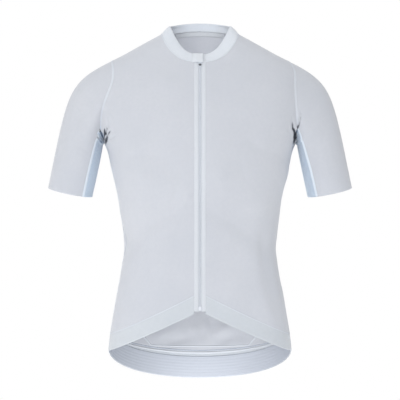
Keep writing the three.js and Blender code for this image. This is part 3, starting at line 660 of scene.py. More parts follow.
def band_top_z(angle):
    """The hem's height and the band's, which goes with cos at the front and with cos^4 at the back."""
    share = np.cos(angle)
    front = mix(*FRONT_BAND, share)
    return hem_z(angle) + np.where(angle >= 0, front, mix(*BACK_BAND, share**4))


def front_fall(rise, drop, power, ease):
    """The drop of a line at the front: the rise to a power, made fuller by the ease."""
    return drop * rise**power * (1 + ease * (1 - rise))


def neck_at(alpha):
    """The neckline seen from above: a quarter turn at the zip, 0 at the shoulder."""
    s = np.sin(alpha)
    fall = front_fall(np.abs(s), NECK_FRONT_DROP, NECK_FRONT_POWER, NECK_FRONT_EASE)
    z = np.where(s > 0, -fall, NECK_BACK_RISE * s * s)
    turn = angle_at(NECK_HALF_WIDTH * np.cos(alpha), z)
    return z, np.where(s < 0, -turn, turn)


COLLAR_HALF_WIDTH = 61 * MM
COLLAR_HALF_DEPTH = 59.5 * MM
COLLAR_Y = 13.5 * MM
COLLAR_SIDE_Z = 16 * MM
COLLAR_FRONT_DROP = 60.8 * MM
COLLAR_FRONT_POWER = 3
COLLAR_FRONT_EASE = 1.85
COLLAR_BACK_RISE = 11 * MM
COLLAR_BACK_POWER = 1.5
COLLAR_STEP = 0.01


def collar_bare(alpha, beta, h):
    """A straight line from the neckline at alpha, h = 0, to the top edge at beta, h = 1."""
    s = np.sin(beta)
    rise = np.abs(s)
    fall = front_fall(rise, COLLAR_FRONT_DROP, COLLAR_FRONT_POWER, COLLAR_FRONT_EASE)
    lift = COLLAR_BACK_RISE * rise**COLLAR_BACK_POWER
    top_z = COLLAR_SIDE_Z + np.where(s > 0, -fall, lift)
    top = [COLLAR_HALF_WIDTH * np.cos(beta), COLLAR_Y - COLLAR_HALF_DEPTH * s, top_z]
    return mix(torso_bare(*neck_at(alpha)), np.stack(top, axis=-1), np.asarray(h)[..., None])


def collar(alpha, beta, h, side=1, off=0.0):
    """The collar's point, placed. Its two directions are differences between points."""
    alpha, beta, h = np.broadcast_arrays(*(np.asarray(v, float) for v in (alpha, beta, h)))
    before = collar_bare(alpha - COLLAR_STEP, beta - COLLAR_STEP, h)
    across = before - collar_bare(alpha + COLLAR_STEP, beta + COLLAR_STEP, h)
    up = collar_bare(alpha, beta, h * 0 + 1) - collar_bare(alpha, beta, h * 0)
    return placed(collar_bare(alpha, beta, h), across, up, side, off)


ARMHOLE_TURN = {-1: (0.585, 0.55), 1: (0.555, 0.14)}
ARMHOLE_BACK_TURN = (0.56, 0.3)


def armhole_at(phi, side):
    """A loop on the torso: z goes with cos, and the turn to the front or back with sin * exp."""
    front = phi <= math.pi
    tau = np.where(front, phi, TURN - phi)
    turn, skew = ARMHOLE_TURN[side]
    turn = np.where(front, turn, ARMHOLE_BACK_TURN[0])
    skew = np.where(front, skew, ARMHOLE_BACK_TURN[1])
    angle = turn * np.sin(tau) * np.exp(-skew * np.cos(tau))
    return mix(PIT_Z, ARMHOLE_TOP_Z, (1 - np.cos(tau)) / 2), np.where(front, angle, -angle)


CUFF_CENTRE = np.array([254.5, 5, -310]) * MM
CUFF_HALF_WIDTH = 44.4 * MM
CUFF_HALF_DEPTH = 50 * MM
CUFF_TILT = 0.087
SLEEVE_AXIS = np.array([0.203, 0, -0.979])
HEAD = {"way": np.array([0.88, 0, -0.43]), "reach": 100 * MM, "settle": 195 * MM}
UNDER = {"way": np.array([0.15, 0, -0.99]), "reach": 37 * MM, "settle": 37 * MM}
AROUND_STEP, ALONG_STEP = 2e-3, 1e-3


def sleeve_bare(phi, s, side):
    """A Bezier curve for each thread, from the armhole at s = 0 to the cuff's ellipse at s = 1."""
    start = torso_bare(*armhole_at(np.mod(phi, TURN), side))
    share = ((1 - np.cos(phi)) / 2)[..., None]
    leave = unit(mix(UNDER["way"], HEAD["way"], share)) * mix(UNDER["reach"], HEAD["reach"], share)
    c, d = np.cos(phi), np.sin(phi)
    ring = [c * SLEEVE_AXIS[2] * CUFF_HALF_WIDTH, -CUFF_HALF_DEPTH * d]
    ring.append(-c * SLEEVE_AXIS[0] * CUFF_HALF_WIDTH - d * CUFF_HALF_DEPTH * CUFF_TILT)
    end = CUFF_CENTRE + np.stack(ring, axis=-1)
    arrive = end - SLEEVE_AXIS * mix(UNDER["settle"], HEAD["settle"], share)
    s = np.asarray(s)[..., None]
    left = (1 - s) ** 3 * start + 3 * s * (1 - s) ** 2 * (start + leave)
    return left + 3 * s * s * (1 - s) * arrive + s**3 * end


def sleeve(phi, s, side=1, off=0.0):
    """The sleeve's point, placed. Its two directions are differences between near points."""
    phi, s = np.broadcast_arrays(np.asarray(phi, float), np.asarray(s, float))
    around = sleeve_bare(phi + AROUND_STEP, s, side) - sleeve_bare(phi - AROUND_STEP, s, side)
    near, far = np.maximum(s - ALONG_STEP, 0), np.minimum(s + ALONG_STEP, 1)
    along = sleeve_bare(phi, near, side) - sleeve_bare(phi, far, side)
    return placed(sleeve_bare(phi, s, side), around, along, side, off)


print("the armholes reach from", PIT_Z, "to", ARMHOLE_TOP_Z, "m")

# %% [markdown]
# ## A wall of cloth
#
# A panel is two layers of points, outer and inner, joined round the rim by a rounded edge. The
# distances along the rows and columns become the piece's UV map, so that a weave drawn on it keeps
# its real size.

# %% Making a wall
CLOTH = 0.9 * MM
# The depths in millimetres between which an armpit's fold goes from no painted shade to full painted shade.
BROAD_FOLD = 1.8
DEEP_FOLD = 4.6
pieces = {}


def put_mesh(name, points, faces, material, uv=None):
    """Makes a smooth mesh object from arrays of points and of four-cornered faces."""
    mesh = bpy.data.meshes.new(name)
    mesh.vertices.add(len(points))
    mesh.vertices.foreach_set("co", points.astype(np.float32).ravel())
    mesh.loops.add(faces.size)
    mesh.loops.foreach_set("vertex_index", faces.ravel().astype(np.int32))
    mesh.polygons.add(len(faces))
    starts = np.arange(0, faces.size, faces.shape[1], dtype=np.int32)
    mesh.polygons.foreach_set("loop_start", starts)
    mesh.polygons.foreach_set("use_smooth", np.ones(len(faces), bool))
    if uv is not None:
        layer = mesh.uv_layers.new(name="cloth")
        layer.data.foreach_set("uv", uv[faces.ravel()].astype(np.float32).ravel())
        # Painted shade: the depth of the armpit folds at each point sets how far the colour is darkened
        # there.
        level = pit_level(*(points / MM).T)
        painted_fold_shade = np.clip((-level - BROAD_FOLD) / (DEEP_FOLD - BROAD_FOLD), 0, 1)
        shade = mesh.attributes.new("painted_fold_shade", "FLOAT", "POINT")
        shade.data.foreach_set("value", painted_fold_shade.astype(np.float32))
    mesh.validate()
    mesh.update(calc_edges=True)
    mesh.materials.append(material)
    piece = bpy.data.objects.new(name, mesh)
    scene.collection.objects.link(piece)
    pieces[name] = piece
    return piece


def outwards(points, faces):
    """Turns all the faces round if they enclose a negative volume."""
    a, b, c = points[faces[:, 0]], points[faces[:, 1]], points[faces[:, 2]]
    volume = (a * np.cross(b, c)).sum()
    if faces.shape[1] == 4:
        volume += (a * np.cross(c, points[faces[:, 3]])).sum()
    return faces if volume > 0 else faces[:, ::-1]


def lengths_along(points, axis):
    """The distance run along one axis of a grid, from 0 at its start."""
    steps = np.linalg.norm(np.diff(points, axis=axis), axis=-1)
    start = np.zeros_like(np.take(steps, [0], axis=axis))
    return np.cumsum(np.concatenate([start, steps], axis=axis), axis=axis)


def grid_faces(n, m, wrap=False):
    """The four-cornered faces of an n by m grid of points, closed in n where it wraps."""
    i, j = grid(np.arange(n if wrap else n - 1), np.arange(m - 1))
    k = (i + 1) % n
    corners = [i * m + j, k * m + j, k * m + j + 1, i * m + j + 1]
    return np.stack([c.ravel() for c in corners], axis=-1)


def rim_of(layer):
    """The points round the edge of a grid, in order, once each."""
    return np.concatenate([layer[:-1, 0], layer[-1, :-1], layer[:0:-1, -1], layer[0, :0:-1]])


def wall(name, outer, inner, material):
    """Two layers and a rounded rim: the rim's middle ring bulges by half the thickness."""
    n, m = outer.shape[:2]
    flat = lambda layer: layer.reshape(-1, layer.shape[-1])
    inset = outer.copy()
    inset[0], inset[-1] = outer[1], outer[-2]
    inset[:, 0], inset[:, -1] = outer[:, 1], outer[:, -2]
    edge_out, edge_in = rim_of(outer), rim_of(inner)
    bulge = unit(edge_out - rim_of(inset)) * np.linalg.norm(edge_out - edge_in, axis=-1, keepdims=True)
    ring = (edge_out + edge_in) / 2 + bulge / 2
    points = np.concatenate([flat(outer), flat(inner), ring])
    faces = grid_faces(n, m)
    ids = np.arange(n * m).reshape(n, m)
    first, second = rim_of(ids), rim_of(ids) + n * m
    middle = 2 * n * m + np.arange(len(ring))
    turned = lambda loop: np.roll(loop, -1)
    rims = [
        np.stack([first, middle, turned(middle), turned(first)], axis=-1),
        np.stack([middle, second, turned(second), turned(middle)], axis=-1),
    ]
    faces = np.concatenate([faces, faces[:, ::-1] + n * m, *rims])
    across, along = lengths_along(outer, 0), lengths_along(outer, 1)
    uv = np.stack([across, along], axis=-1)
    uv = np.concatenate([flat(uv), flat(uv), rim_of(uv)])
    tiles = np.cross(np.diff(outer, axis=0)[:, 1:], np.diff(outer, axis=1)[1:])
    area = np.linalg.norm(tiles, axis=-1).sum()
    long, wide = round(along.max(), 3), round(across.max(), 3)
    print(name, "is", round(area * 1e4), "square cm,", wide, "by", long, "m")
    put_mesh(name, points, outwards(points, faces), material, uv)


def torso_wall(name, z, angle, side, off, thick, material):
    """A wall on the torso, whose outer layer is moved out by off."""
    wall(name, torso(z, angle, side, off), torso(z, angle, side, off - thick), material)


# %% [markdown]
# ## Fronts and back
#
# A panel's outline is known: hem, zip, neckline, shoulder seam, armhole and side seam. A Coons patch
# fills it: it blends the two pairs of opposite edges and takes away the blend of the four corners.
# It works on height and angle, so every point of it lies on the torso.

# %% Panel maps
def coons(u, v, low, high, inner, outer):
    """Blend of low and high edges + blend of inner and outer edges - blend of the corners."""
    pair = lambda edge, t: np.stack(edge(t), axis=-1)
    zero, one = np.zeros_like(u), np.ones_like(u)
    u2, v2 = u[..., None], v[..., None]
    rows = mix(pair(low, u), pair(high, u), v2) + mix(pair(inner, v), pair(outer, v), u2)
    low_corners = mix(pair(low, zero), pair(low, one), u2)
    high_corners = mix(pair(high, zero), pair(high, one), u2)
    place = rows - mix(low_corners, high_corners, v2)
    return place[..., 0], place[..., 1]


def chain(first, second, share):
    """Two edges run one after the other."""
    def edge(t):
        early = first(np.minimum(t / share, 1))
        late = second(np.maximum((t - share) / (1 - share), 0))
        return tuple(np.where(t <= share, a, b) for a, b in zip(early, late))
    return edge


NECK_START = math.acos(ZIP_OUTER_EDGE / NECK_HALF_WIDTH)
NECK_CORNER_SHARE = 7 / 16
BACK_NECK_SHARE = 3 / 12
seam_neck_z, seam_neck_angle = (float(v) for v in neck_at(np.array(NECK_END)))


def shoulder_seam(t, side):
    """A straight line in height and angle from the end of the neckline to the armhole."""
    arm_z, arm_angle = armhole_at(np.array(SEAM_PHI), side)
    return mix(seam_neck_z, arm_z, t), mix(seam_neck_angle, arm_angle, t)


def front_upper(u, v, side):
    """The Coons patch between the armpit level, the shoulder seam, zip with neckline, and armhole."""
    neck_z = float(neck_at(np.array(NECK_START))[0])
    low = lambda t: (PIT_Z + 0 * t, mix(angle_at(ZIP_OUTER_EDGE, PIT_Z), 0, t))
    zip_line = lambda t: (mix(PIT_Z, neck_z, t), angle_at(ZIP_OUTER_EDGE, mix(PIT_Z, neck_z, t)))
    neck = lambda t: neck_at(mix(NECK_START, NECK_END, t))
    inner = chain(zip_line, neck, NECK_CORNER_SHARE)
    outer = lambda t: armhole_at(SEAM_PHI * t, side)
    return coons(u, v, low, lambda t: shoulder_seam(t, side), inner, outer)


def front_lower(u, v):
    """Straight in height from band to armpit level, and in angle from the zip's edge to the side. The
    two depend on each other, so they are worked out three times in turn."""
    z = np.full(np.shape(u), HEM_SIDE_Z)
    for _ in range(3):
        angle = mix(angle_at(ZIP_OUTER_EDGE, z), 0, u)
        z = mix(band_top_z(angle), PIT_Z, v)
    return z, angle


def back_upper(u, v, side):
    """The Coons patch between the armpit level, neckline with shoulder seam, spine, and armhole."""
    low = lambda t: (PIT_Z + 0 * t, -mix(QUARTER, 0, t))
    inner = lambda t: (mix(PIT_Z, NECK_BACK_RISE, t), -QUARTER + 0 * t)
    neck = lambda t: neck_at(mix(-QUARTER, NECK_END, t))
    high = chain(neck, lambda t: shoulder_seam(t, side), BACK_NECK_SHARE)
    return coons(u, v, low, high, inner, lambda t: armhole_at(mix(TURN, SEAM_PHI, t), side))


def back_lower(u, v):
    """Straight in height from the band to the armpit level, and in angle from spine to side."""
    angle = -mix(QUARTER, 0, u)
    return mix(band_top_z(angle), PIT_Z, v), angle


def stack_maps(u, lower, upper, v_low, v_high):
    """Rows of the lower map and then of the upper one, which share the row at the armpit."""
    low, high = lower(*grid(u, v_low)), upper(*grid(u, v_high[1:]))
    return tuple(np.concatenate(pair, axis=1) for pair in zip(low, high))


# %% [markdown]
# The fronts' rows are spaced so that the corner between zip and neckline falls on one of them. Below
# the armpits rows lie closer together the nearer they are to them, because the folds there are finest.

# %% Cut the fronts and the back
SIDES = ((-1, "right"), (1, "left"))
FRONT_COLUMNS = 96
BACK_HALF_COLUMNS = 76


def spread(count, ends=0.35):
    """Shares from 0 to 1 that lie closer at both ends: t - (1 - ends) * sin(2 pi t) / (2 pi)."""
    t = np.linspace(0, 1, count + 1)
    return t - (1 - ends) * np.sin(TURN * t) / TURN


def towards(count, start, end, close=0.4):
    """Shares from start to end whose steps shrink to close times the even step at the end."""
    t = np.linspace(0, 1, count + 1)
    return mix(start, end, t * (2 - close) - t * t * (1 - close))


front_u = spread(FRONT_COLUMNS)
back_u = spread(BACK_HALF_COLUMNS, 0.5)
low_rows = towards(120, 0, 1)
zip_rows = 1 - towards(70, 1 - NECK_CORNER_SHARE, 1, 0.7)[::-1]
neck_rows = np.linspace(NECK_CORNER_SHARE, 1, 55)
high_rows = np.concatenate([zip_rows, neck_rows[1:]])
for side, word in SIDES:
    upper = lambda u, v: front_upper(u, v, side)
    z, angle = stack_maps(front_u, front_lower, upper, low_rows, high_rows)
    torso_wall(f"front_{word}_cut", z, angle, side, 0.0, CLOTH, knit)

back_rows = (towards(100, 0, 1), np.linspace(0, 1, 97))
halves = []
for side, _ in SIDES:
    upper = lambda u, v: back_upper(u, v, side)
    halves.append(stack_maps(back_u, back_lower, upper, *back_rows))
z, angle = (np.concatenate([right[:0:-1], left]) for right, left in zip(*halves))
sides = row_sides(len(z), BACK_HALF_COLUMNS)[:, None] + 0 * z
torso_wall("back_cut", z, angle, sides, 0.0, CLOTH, knit)

# %% [markdown]
# ## Sleeves and mesh underarms
#
# Each sleeve is a bundle of threads from armhole to cuff. The panel under the arm is the share of
# them round the armpit, in the eyelet mesh. The cuffs are cut raw and lie flat, with no band.

# %% Cut the sleeves
MESH_FRONT_PHI = SEAM_PHI * 4 / 16
MESH_BACK_PHI = mix(TURN, SEAM_PHI, 4 / 13)
MESH_PANEL_AT_CUFF = math.radians(50)
MESH_PANEL_WIDENING = 0.65
cuff_turns = {
    "sleeve": (MESH_FRONT_PHI, MESH_BACK_PHI, MESH_PANEL_AT_CUFF, TURN - MESH_PANEL_AT_CUFF),
    "underarm": (MESH_BACK_PHI - TURN, MESH_FRONT_PHI, -MESH_PANEL_AT_CUFF, MESH_PANEL_AT_CUFF),
}


def thread_grid(part, columns, steps):
    """The threads' angles, which slide towards the panel's own edges at the cuff, and the shares."""
    from_phi, to_phi, from_cuff, to_cuff = cuff_turns[part]
    share, s = grid(spread(columns, 0.5), 1 - towards(steps, 0, 1)[::-1])
    start, end = mix(from_phi, to_phi, share), mix(from_cuff, to_cuff, share)
    return mix(start, end, s**MESH_PANEL_WIDENING), s


for side, word in SIDES:
    for part, columns, material in (("sleeve", 130, knit), ("underarm", 60, mesh_knit)):
        phi, s = thread_grid(part, columns, 100)
        wall(f"{part}_{word}_cut", sleeve(phi, s, side), sleeve(phi, s, side, -CLOTH), material)

# %% [markdown]
# ## Collar
#
# The stand collar is one band of doubled knit, folded along its top edge, from zip to zip round the
# back of the neck. It leans in as it rises. Its foot runs along the neckline.

# %% Cut the collar
TOP_START = math.acos(ZIP_OUTER_EDGE / COLLAR_HALF_WIDTH)
COLLAR_CLOTH = 1.6 * MM
COLLAR_BELLY, COLLAR_RAISE = 0.8 * MM, 0.1 * MM
# The top edge rolls inwards most at this angle, and over about this much on both sides of it.
ROLL, ROLL_AT, ROLL_OVER = 1.5 * MM, 0.12, 0.42


def top_angle(alpha):
    """The top edge's angle beta, which runs in step with the neckline's alpha."""
    return mix(-QUARTER, TOP_START, (alpha + QUARTER) / (NECK_START + QUARTER))


COLLAR_HALF_COLUMNS = 91
half_alpha = np.linspace(NECK_START, -QUARTER, COLLAR_HALF_COLUMNS)
alpha, h = grid(there_and_back(half_alpha), np.linspace(0, 1, 15))
sides = row_sides(len(alpha), COLLAR_HALF_COLUMNS)[:, None] + 0 * h
beta = top_angle(alpha)
roll = ROLL * np.exp(-(((beta - ROLL_AT) / ROLL_OVER) ** 2)) * h**3
belly = COLLAR_BELLY * np.sin(math.pi * h) + COLLAR_RAISE
wall(
    "collar_cut", collar(alpha, beta, h, sides, belly),
    collar(alpha, beta, h, sides, belly - COLLAR_CLOTH - roll), collar_knit,
)

# %% [markdown]
# ## Hem bands and pockets
#
# The hems are flat elastic bands that carry on the line of the panels, a hair proud of them. On the
# back, three pockets share the panel's own surface: each is that surface moved out, and its mouth
# gapes a little.

# %% Cut the hem bands
BAND_RAISE = 0.3 * MM
BAND_CLOTH = 1.3 * MM
band_v = np.linspace(0, 1, 17)
for side, word in SIDES:
    u, v = grid(front_u, band_v)
    top_z, angle = front_lower(u, 0 * v)
    z = mix(hem_z(angle), top_z, v)
    torso_wall(f"hem_front_{word}_cut", z, angle, side, BAND_RAISE, BAND_CLOTH, band_knit)
k = np.concatenate([-back_u[:0:-1], back_u])
u, v = grid(np.abs(k), band_v)
top_z, angle = back_lower(u, 0 * v)
z = mix(hem_z(angle), top_z, v)
sides = side_of(k)[:, None] + 0 * v
torso_wall("hem_back_cut", z, angle, sides, BAND_RAISE, BAND_CLOTH, band_knit)

# %% Cut the pockets
POCKET_TOP = 0.453
POCKET_GAP = 0.4 * MM
POCKET_CLOTH = 0.8 * MM
POCKET_GAPE = 3 * MM
GAPE_FROM = 0.35
POCKET_EDGES = (-8 / 12, -3 / 12, 3 / 12, 8 / 12)
POCKETS = list(zip(("right", "centre", "left"), POCKET_EDGES, POCKET_EDGES[1:]))


def gape(share, up):
    """How far a pocket stands off: most in the middle of its mouth, and nothing low down."""
    return POCKET_GAPE * np.sin(math.pi * share) * soft((up - GAPE_FROM) / (1 - GAPE_FROM))


for word, start, end in POCKETS:
    share, up = grid(np.linspace(0, 1, 61), np.linspace(0, 1, 71))
    across = mix(start, end, share)
    z, angle = back_lower(np.abs(across), up * POCKET_TOP)
    sides, off = side_of(across), POCKET_GAP + gape(share, up)
    wall(
        f"pocket_{word}_cut", torso(z, angle, sides, off + POCKET_CLOTH),
        torso(z, angle, sides, off), knit,
    )

# %% [markdown]
# A narrow woven tape covers the neck seam inside the back, so that the seam doesn't rub. It is sewn flat
# on the cloth, so it is a strip of the torso's own surface moved inwards.

# %% Neck tape inside the back
TAPE_DOWN = 9 * MM
TAPE_OUT = 4 * MM
TAPE_DEPTH = -2.3 * MM
TAPE_CLOTH = 0.6 * MM
TAPE_TOP = 1 * MM
TAPE_HALF_STEPS = 30
half_alpha = np.linspace(NECK_END, -QUARTER, TAPE_HALF_STEPS + 1)
alpha, v = grid(there_and_back(half_alpha), np.linspace(0, 1, 5))
drop = mix(TAPE_DOWN, TAPE_TOP, v)
z = neck_at(alpha)[0] - drop * np.abs(np.sin(alpha))
x = (NECK_HALF_WIDTH + TAPE_OUT * drop / TAPE_DOWN) * np.cos(alpha)
sides = row_sides(len(alpha), TAPE_HALF_STEPS)[:, None] + 0 * v
torso_wall("neck_tape_cut", z, -angle_at(x, z), sides, TAPE_DEPTH, TAPE_CLOTH, tape)

# %% [markdown]
# ## The zip
#
# The zip runs from the hem to the top of the collar. Two bindings of folded tape lie beside it, and
# between them the nylon coil stands in its groove. The centre front is a strip map: a distance from
# the middle and a share of the height, first along the chest and then up the collar.

# %% Strip map and bindings
def centre_front(x, share, off):
    """The chest at distance x for shares from 0 to 1, and the collar above it for shares up to 2."""
    x, share, off = np.broadcast_arrays(*(np.asarray(v, float) for v in (x, share, off)))
    side, across = side_of(x), np.abs(x)
    foot = hem_z(np.array(QUARTER)) - STRIP_BELOW_HEM
    top = neck_at(np.arccos(np.maximum(across, ZIP_OUTER_EDGE) / NECK_HALF_WIDTH))[0]
    z = mix(foot, top, np.minimum(share, 1))
    chest = torso(z, angle_at(across, z), side, off)
    alpha, beta = np.arccos(across / NECK_HALF_WIDTH), np.arccos(across / COLLAR_HALF_WIDTH)
    neck = collar(alpha, beta, np.clip(share - 1, 0, 1), side, off)
    return np.where((share <= 1)[..., None], chest, neck)


def dome(t):
    """A binding's height over the cloth: rounded, and highest in the middle of its width."""
    return BINDING_RAISE * (BINDING_EDGE + (1 - BINDING_EDGE) * np.sin(math.pi * t) ** 0.5)


def strip_wall(name, x, outer, inner):
    """A wall up the strip, from the hem to the top of the collar, between two distances from the cloth."""
    across, share = grid(x, heights)
    wall(name, centre_front(across, share, outer), centre_front(across, share, inner), tape)


STRIP_BELOW_HEM = 0.5 * MM
BINDING_RAISE, BINDING_EDGE, BINDING_INNER = 0.75 * MM, 0.45, -1.0 * MM
heights = np.concatenate([np.linspace(0, 1, 221), 1 + np.linspace(0, 1, 13)[1:]])
t = np.linspace(0, 1, 13)
for side, word in SIDES:
    x = side * mix(ZIP_INNER_EDGE, ZIP_OUTER_EDGE, t)
    strip_wall(f"zip_binding_{word}_cut", x, dome(t)[:, None], BINDING_INNER)

# %% [markdown]
# Many of the small parts are a ring of points carried along a line: a stitch, a bar of the coil, a
# seam, the slider. One helper closes such a tube at both ends, or joins its end to its start.

# %% Tubes
def tube_faces(n, m, closed=False):
    """Triangles of a tube of m rings with n points each. Open tubes get a fan at each end, round two
    extra points that follow the rings' own."""
    i, j = grid(np.arange(n), np.arange(m if closed else m - 1))
    k, l = (i + 1) % n, (j + 1) % m
    a, b, c, d = (v.ravel() for v in (i * m + j, k * m + j, k * m + l, i * m + l))
    faces = [np.stack([a, b, c], axis=-1), np.stack([a, c, d], axis=-1)]
    if not closed:
        i, k = np.arange(n), (np.arange(n) + 1) % n
        faces.append(np.stack([k * m, i * m, np.full(n, n * m)], axis=-1))
        faces.append(np.stack([i * m + m - 1, k * m + m - 1, np.full(n, n * m + 1)], axis=-1))
    return np.concatenate(faces)


def put_tube(name, rings, material, closed=False, uv=None):
    """Rings is an array of n points round by m along. The ends close on the middle of their rings."""
    n, m = rings.shape[:2]
    points = rings.reshape(-1, 3)
    uv = np.zeros((n * m, 2)) if uv is None else uv.reshape(-1, 2)
    if not closed:
        points = np.concatenate([points, rings[:, :1].mean(0), rings[:, -1:].mean(0)])
        uv = np.concatenate([uv, uv[:1], uv[-1:]])
    put_mesh(name, points, outwards(points, tube_faces(n, m, closed)), material, uv)


def put_bars(name, groups, material, sides=4):
    """Joins small rounded bars into one mesh. Each bar has rings of radius * (1 - s^4)^0.5 along its
    own axis, where s goes from -1 to 1."""
    shares = np.array([-0.96, -0.6, 0.6, 0.96])
    girth = (1 - shares**4) ** 0.5
    turn = np.linspace(0, TURN, sides, endpoint=False)
    triangles = tube_faces(sides, len(shares))
    points = []
    for centres, along, out, half_length, radius in groups:
        third = np.cross(along, out)
        spin = np.cos(turn)[:, None, None] * out + np.sin(turn)[:, None, None] * third
        body = centres + (shares[:, None, None] * half_length) * along
        rings = body[None] + spin[:, None] * (girth * radius)[None, :, None, None]
        bars = np.moveaxis(rings, 2, 0).reshape(len(centres), -1, 3)
        tips = np.stack([centres - along * half_length, centres + along * half_length], axis=1)
        points.append(np.concatenate([bars, tips], axis=1))
    points = np.concatenate(points)
    count, each = points.shape[:2]
    faces = (triangles[None] + np.arange(count)[:, None, None] * each).reshape(-1, 3)
    points = points.reshape(-1, 3)
    print(name, "has", count, "bars")
    put_mesh(name, points, outwards(points, faces), material)


def spaced(path, pitch, start=0.0):
    """Points every pitch along a path, with the direction of the path at each."""
    run = lengths_along(path, 0)
    at = np.arange(start, run[-1], pitch)
    sample = lambda where: np.stack([np.interp(where, run, path[:, k]) for k in range(3)], axis=-1)
    return sample(at), unit(sample(at + 0.3 * pitch) - sample(at - 0.3 * pitch))


# %% [markdown]
# A nylon coil is one long spring sewn to each tape. Seen from the front its turns are short rounded
# bars that reach past the middle from each side in turn, so each bar is one small closed shape and
# the whole chain is a single array of them.

# %% Coil and its tape
COIL_PITCH = 1.3 * MM
COIL_REACH = 2.5 * MM
COIL_RADIUS = 0.42 * MM
COIL_RAISE, COIL_OVERLAP = 0.15 * MM, 0.2 * MM
COIL_TAPE_HALF_WIDTH, COIL_TAPE_OUTER, COIL_TAPE_INNER = 3.4 * MM, -0.35 * MM, -0.95 * MM
STRIP_START = 0.004
middle_line = centre_front(0.0, np.linspace(STRIP_START, 2, 1600), COIL_RAISE)
bars = []
for side, start in ((-1, 0.0), (1, COIL_PITCH / 2)):
    spots, way = spaced(middle_line, COIL_PITCH, start)
    across = np.zeros_like(spots)
    across[:, 0] = side
    out = unit(np.cross(across * side, way))
    centres = spots + across * (COIL_REACH / 2 - COIL_OVERLAP)
    bars.append((centres, across, out, COIL_REACH / 2, COIL_RADIUS))
put_bars("zip_coil", bars, nylon, 6)
strip_wall("zip_tape", np.linspace(-1, 1, 7) * COIL_TAPE_HALF_WIDTH, COIL_TAPE_OUTER, COIL_TAPE_INNER)

# %% [markdown]
# The slider is a small painted casting. A flat plate lies over the bindings, a bridge stands on it
# like a staple, and the pull tab hangs from the bridge. The garage is a flap of collar knit that
# folds over the slider's head so that it doesn't rub the chin.

# %% Slider and bridge
SLIDER_Z = -64.9 * MM
BRIDGE_Z = ZIP_HEAD_Z * MM
BOX_Z = -532 * MM
BRIDGE_FOOT = 1.78 * MM
BRIDGE_GAP = 1.3 * MM
BRIDGE_HALF_WIDTH, BRIDGE_HALF_THICK = 0.75 * MM, 0.24 * MM
ACROSS = np.array([1.0, 0, 0])


def zip_frame(z):
    """A point on the breastbone at height z, the way down the zip and the way out from the cloth."""
    at, above, below = (torso(np.array(h), np.array(QUARTER)) for h in (z, z + 2 * MM, z - 2 * MM))
    way = unit(below - above)
    return at, way, np.array([0, way[2], -way[1]])


def power(value, exponent):
    """The size of a value to an exponent, with the sign kept."""
    return np.sign(value) * np.abs(value) ** exponent


def block(name, z, half_width, half_length, low, high, taper, material):
    """A flat superellipsoid on the zip: x = w cos^p lat cos^q lon, with the rest in proportion."""
    at, way, out = zip_frame(z)
    lon, lat = grid(np.linspace(0, TURN, 40, endpoint=False), np.linspace(-1.5, 1.5, 17))
    c = power(np.cos(lat), 0.35)
    x, y = c * power(np.cos(lon), 0.5), c * power(np.sin(lon), 0.5)
    x = x * mix(1, taper, soft((y + 1) / 2)) * half_width
    lift = mix(low, high, (1 + power(np.sin(lat), 0.5)) / 2)
    rings = at + x[..., None] * ACROSS + (y * half_length)[..., None] * way + lift[..., None] * out
    put_tube(name, rings, material)


block("zip_slider_plate", SLIDER_Z, 3.9 * MM, 5 * MM, 0.95 * MM, 1.95 * MM, 0.74, painted)
block("zip_foot_box", BOX_Z, 2.9 * MM, 4 * MM, 0.2 * MM, 1.8 * MM, 1, nylon)

bridge_at, bridge_way, bridge_out = zip_frame(BRIDGE_Z)
lon, bend = grid(np.linspace(0, TURN, 14, endpoint=False), np.linspace(-1, 1, 31))
turn = bend * QUARTER
girth = 1 - 0.3 * bend**8
thick = BRIDGE_HALF_THICK * girth * np.sin(lon)
wide = BRIDGE_HALF_WIDTH * girth * power(np.cos(lon), 0.7)
along = np.sin(turn) * (BRIDGE_GAP / 2 + 0.4 * MM + thick)
high = BRIDGE_FOOT + power(np.cos(turn), 0.6) * (BRIDGE_GAP + 0.25 * MM + thick)
rings = bridge_at + wide[..., None] * ACROSS + along[..., None] * bridge_way + high[..., None] * bridge_out
put_tube("zip_slider_bridge", rings, painted)

# %% [markdown]
# The pull tab is a small dark plate with a hole, which the bridge passes through. Its section is
# carried round the ring between the outline and the hole, and its edges are rounded.

# %% Pull tab
TAB_THICK = 0.7 * MM
TAB_OUT = BRIDGE_FOOT + BRIDGE_GAP / 2 + 0.14 * MM
TAB_ROUND = [(0, 0), (0.06, 0.32), (0.25, 0.5), (0.5, 0.5), (0.75, 0.5), (0.94, 0.32), (1, 0)]
section_ring = TAB_ROUND + [(share, -lift) for share, lift in TAB_ROUND[-2:0:-1]]
turn = np.linspace(0, TURN, 48, endpoint=False)
c, d = power(np.cos(turn), 0.45), power(np.sin(turn), 0.45)
outline = np.stack([2.4 * MM * c, (2.125 - 2.475 * d) * MM], axis=-1)
hole = np.stack([1.15 * MM * c, (1.275 - 0.925 * d) * MM], axis=-1)
rings = []
for share, lift in section_ring:
    plan = mix(outline, hole, share)
    level = (TAB_OUT + lift * TAB_THICK) * bridge_out
    rings.append(bridge_at + plan[:, :1] * ACROSS + plan[:, 1:] * bridge_way + level)
put_tube("zip_pull", np.array(rings), black, closed=True)

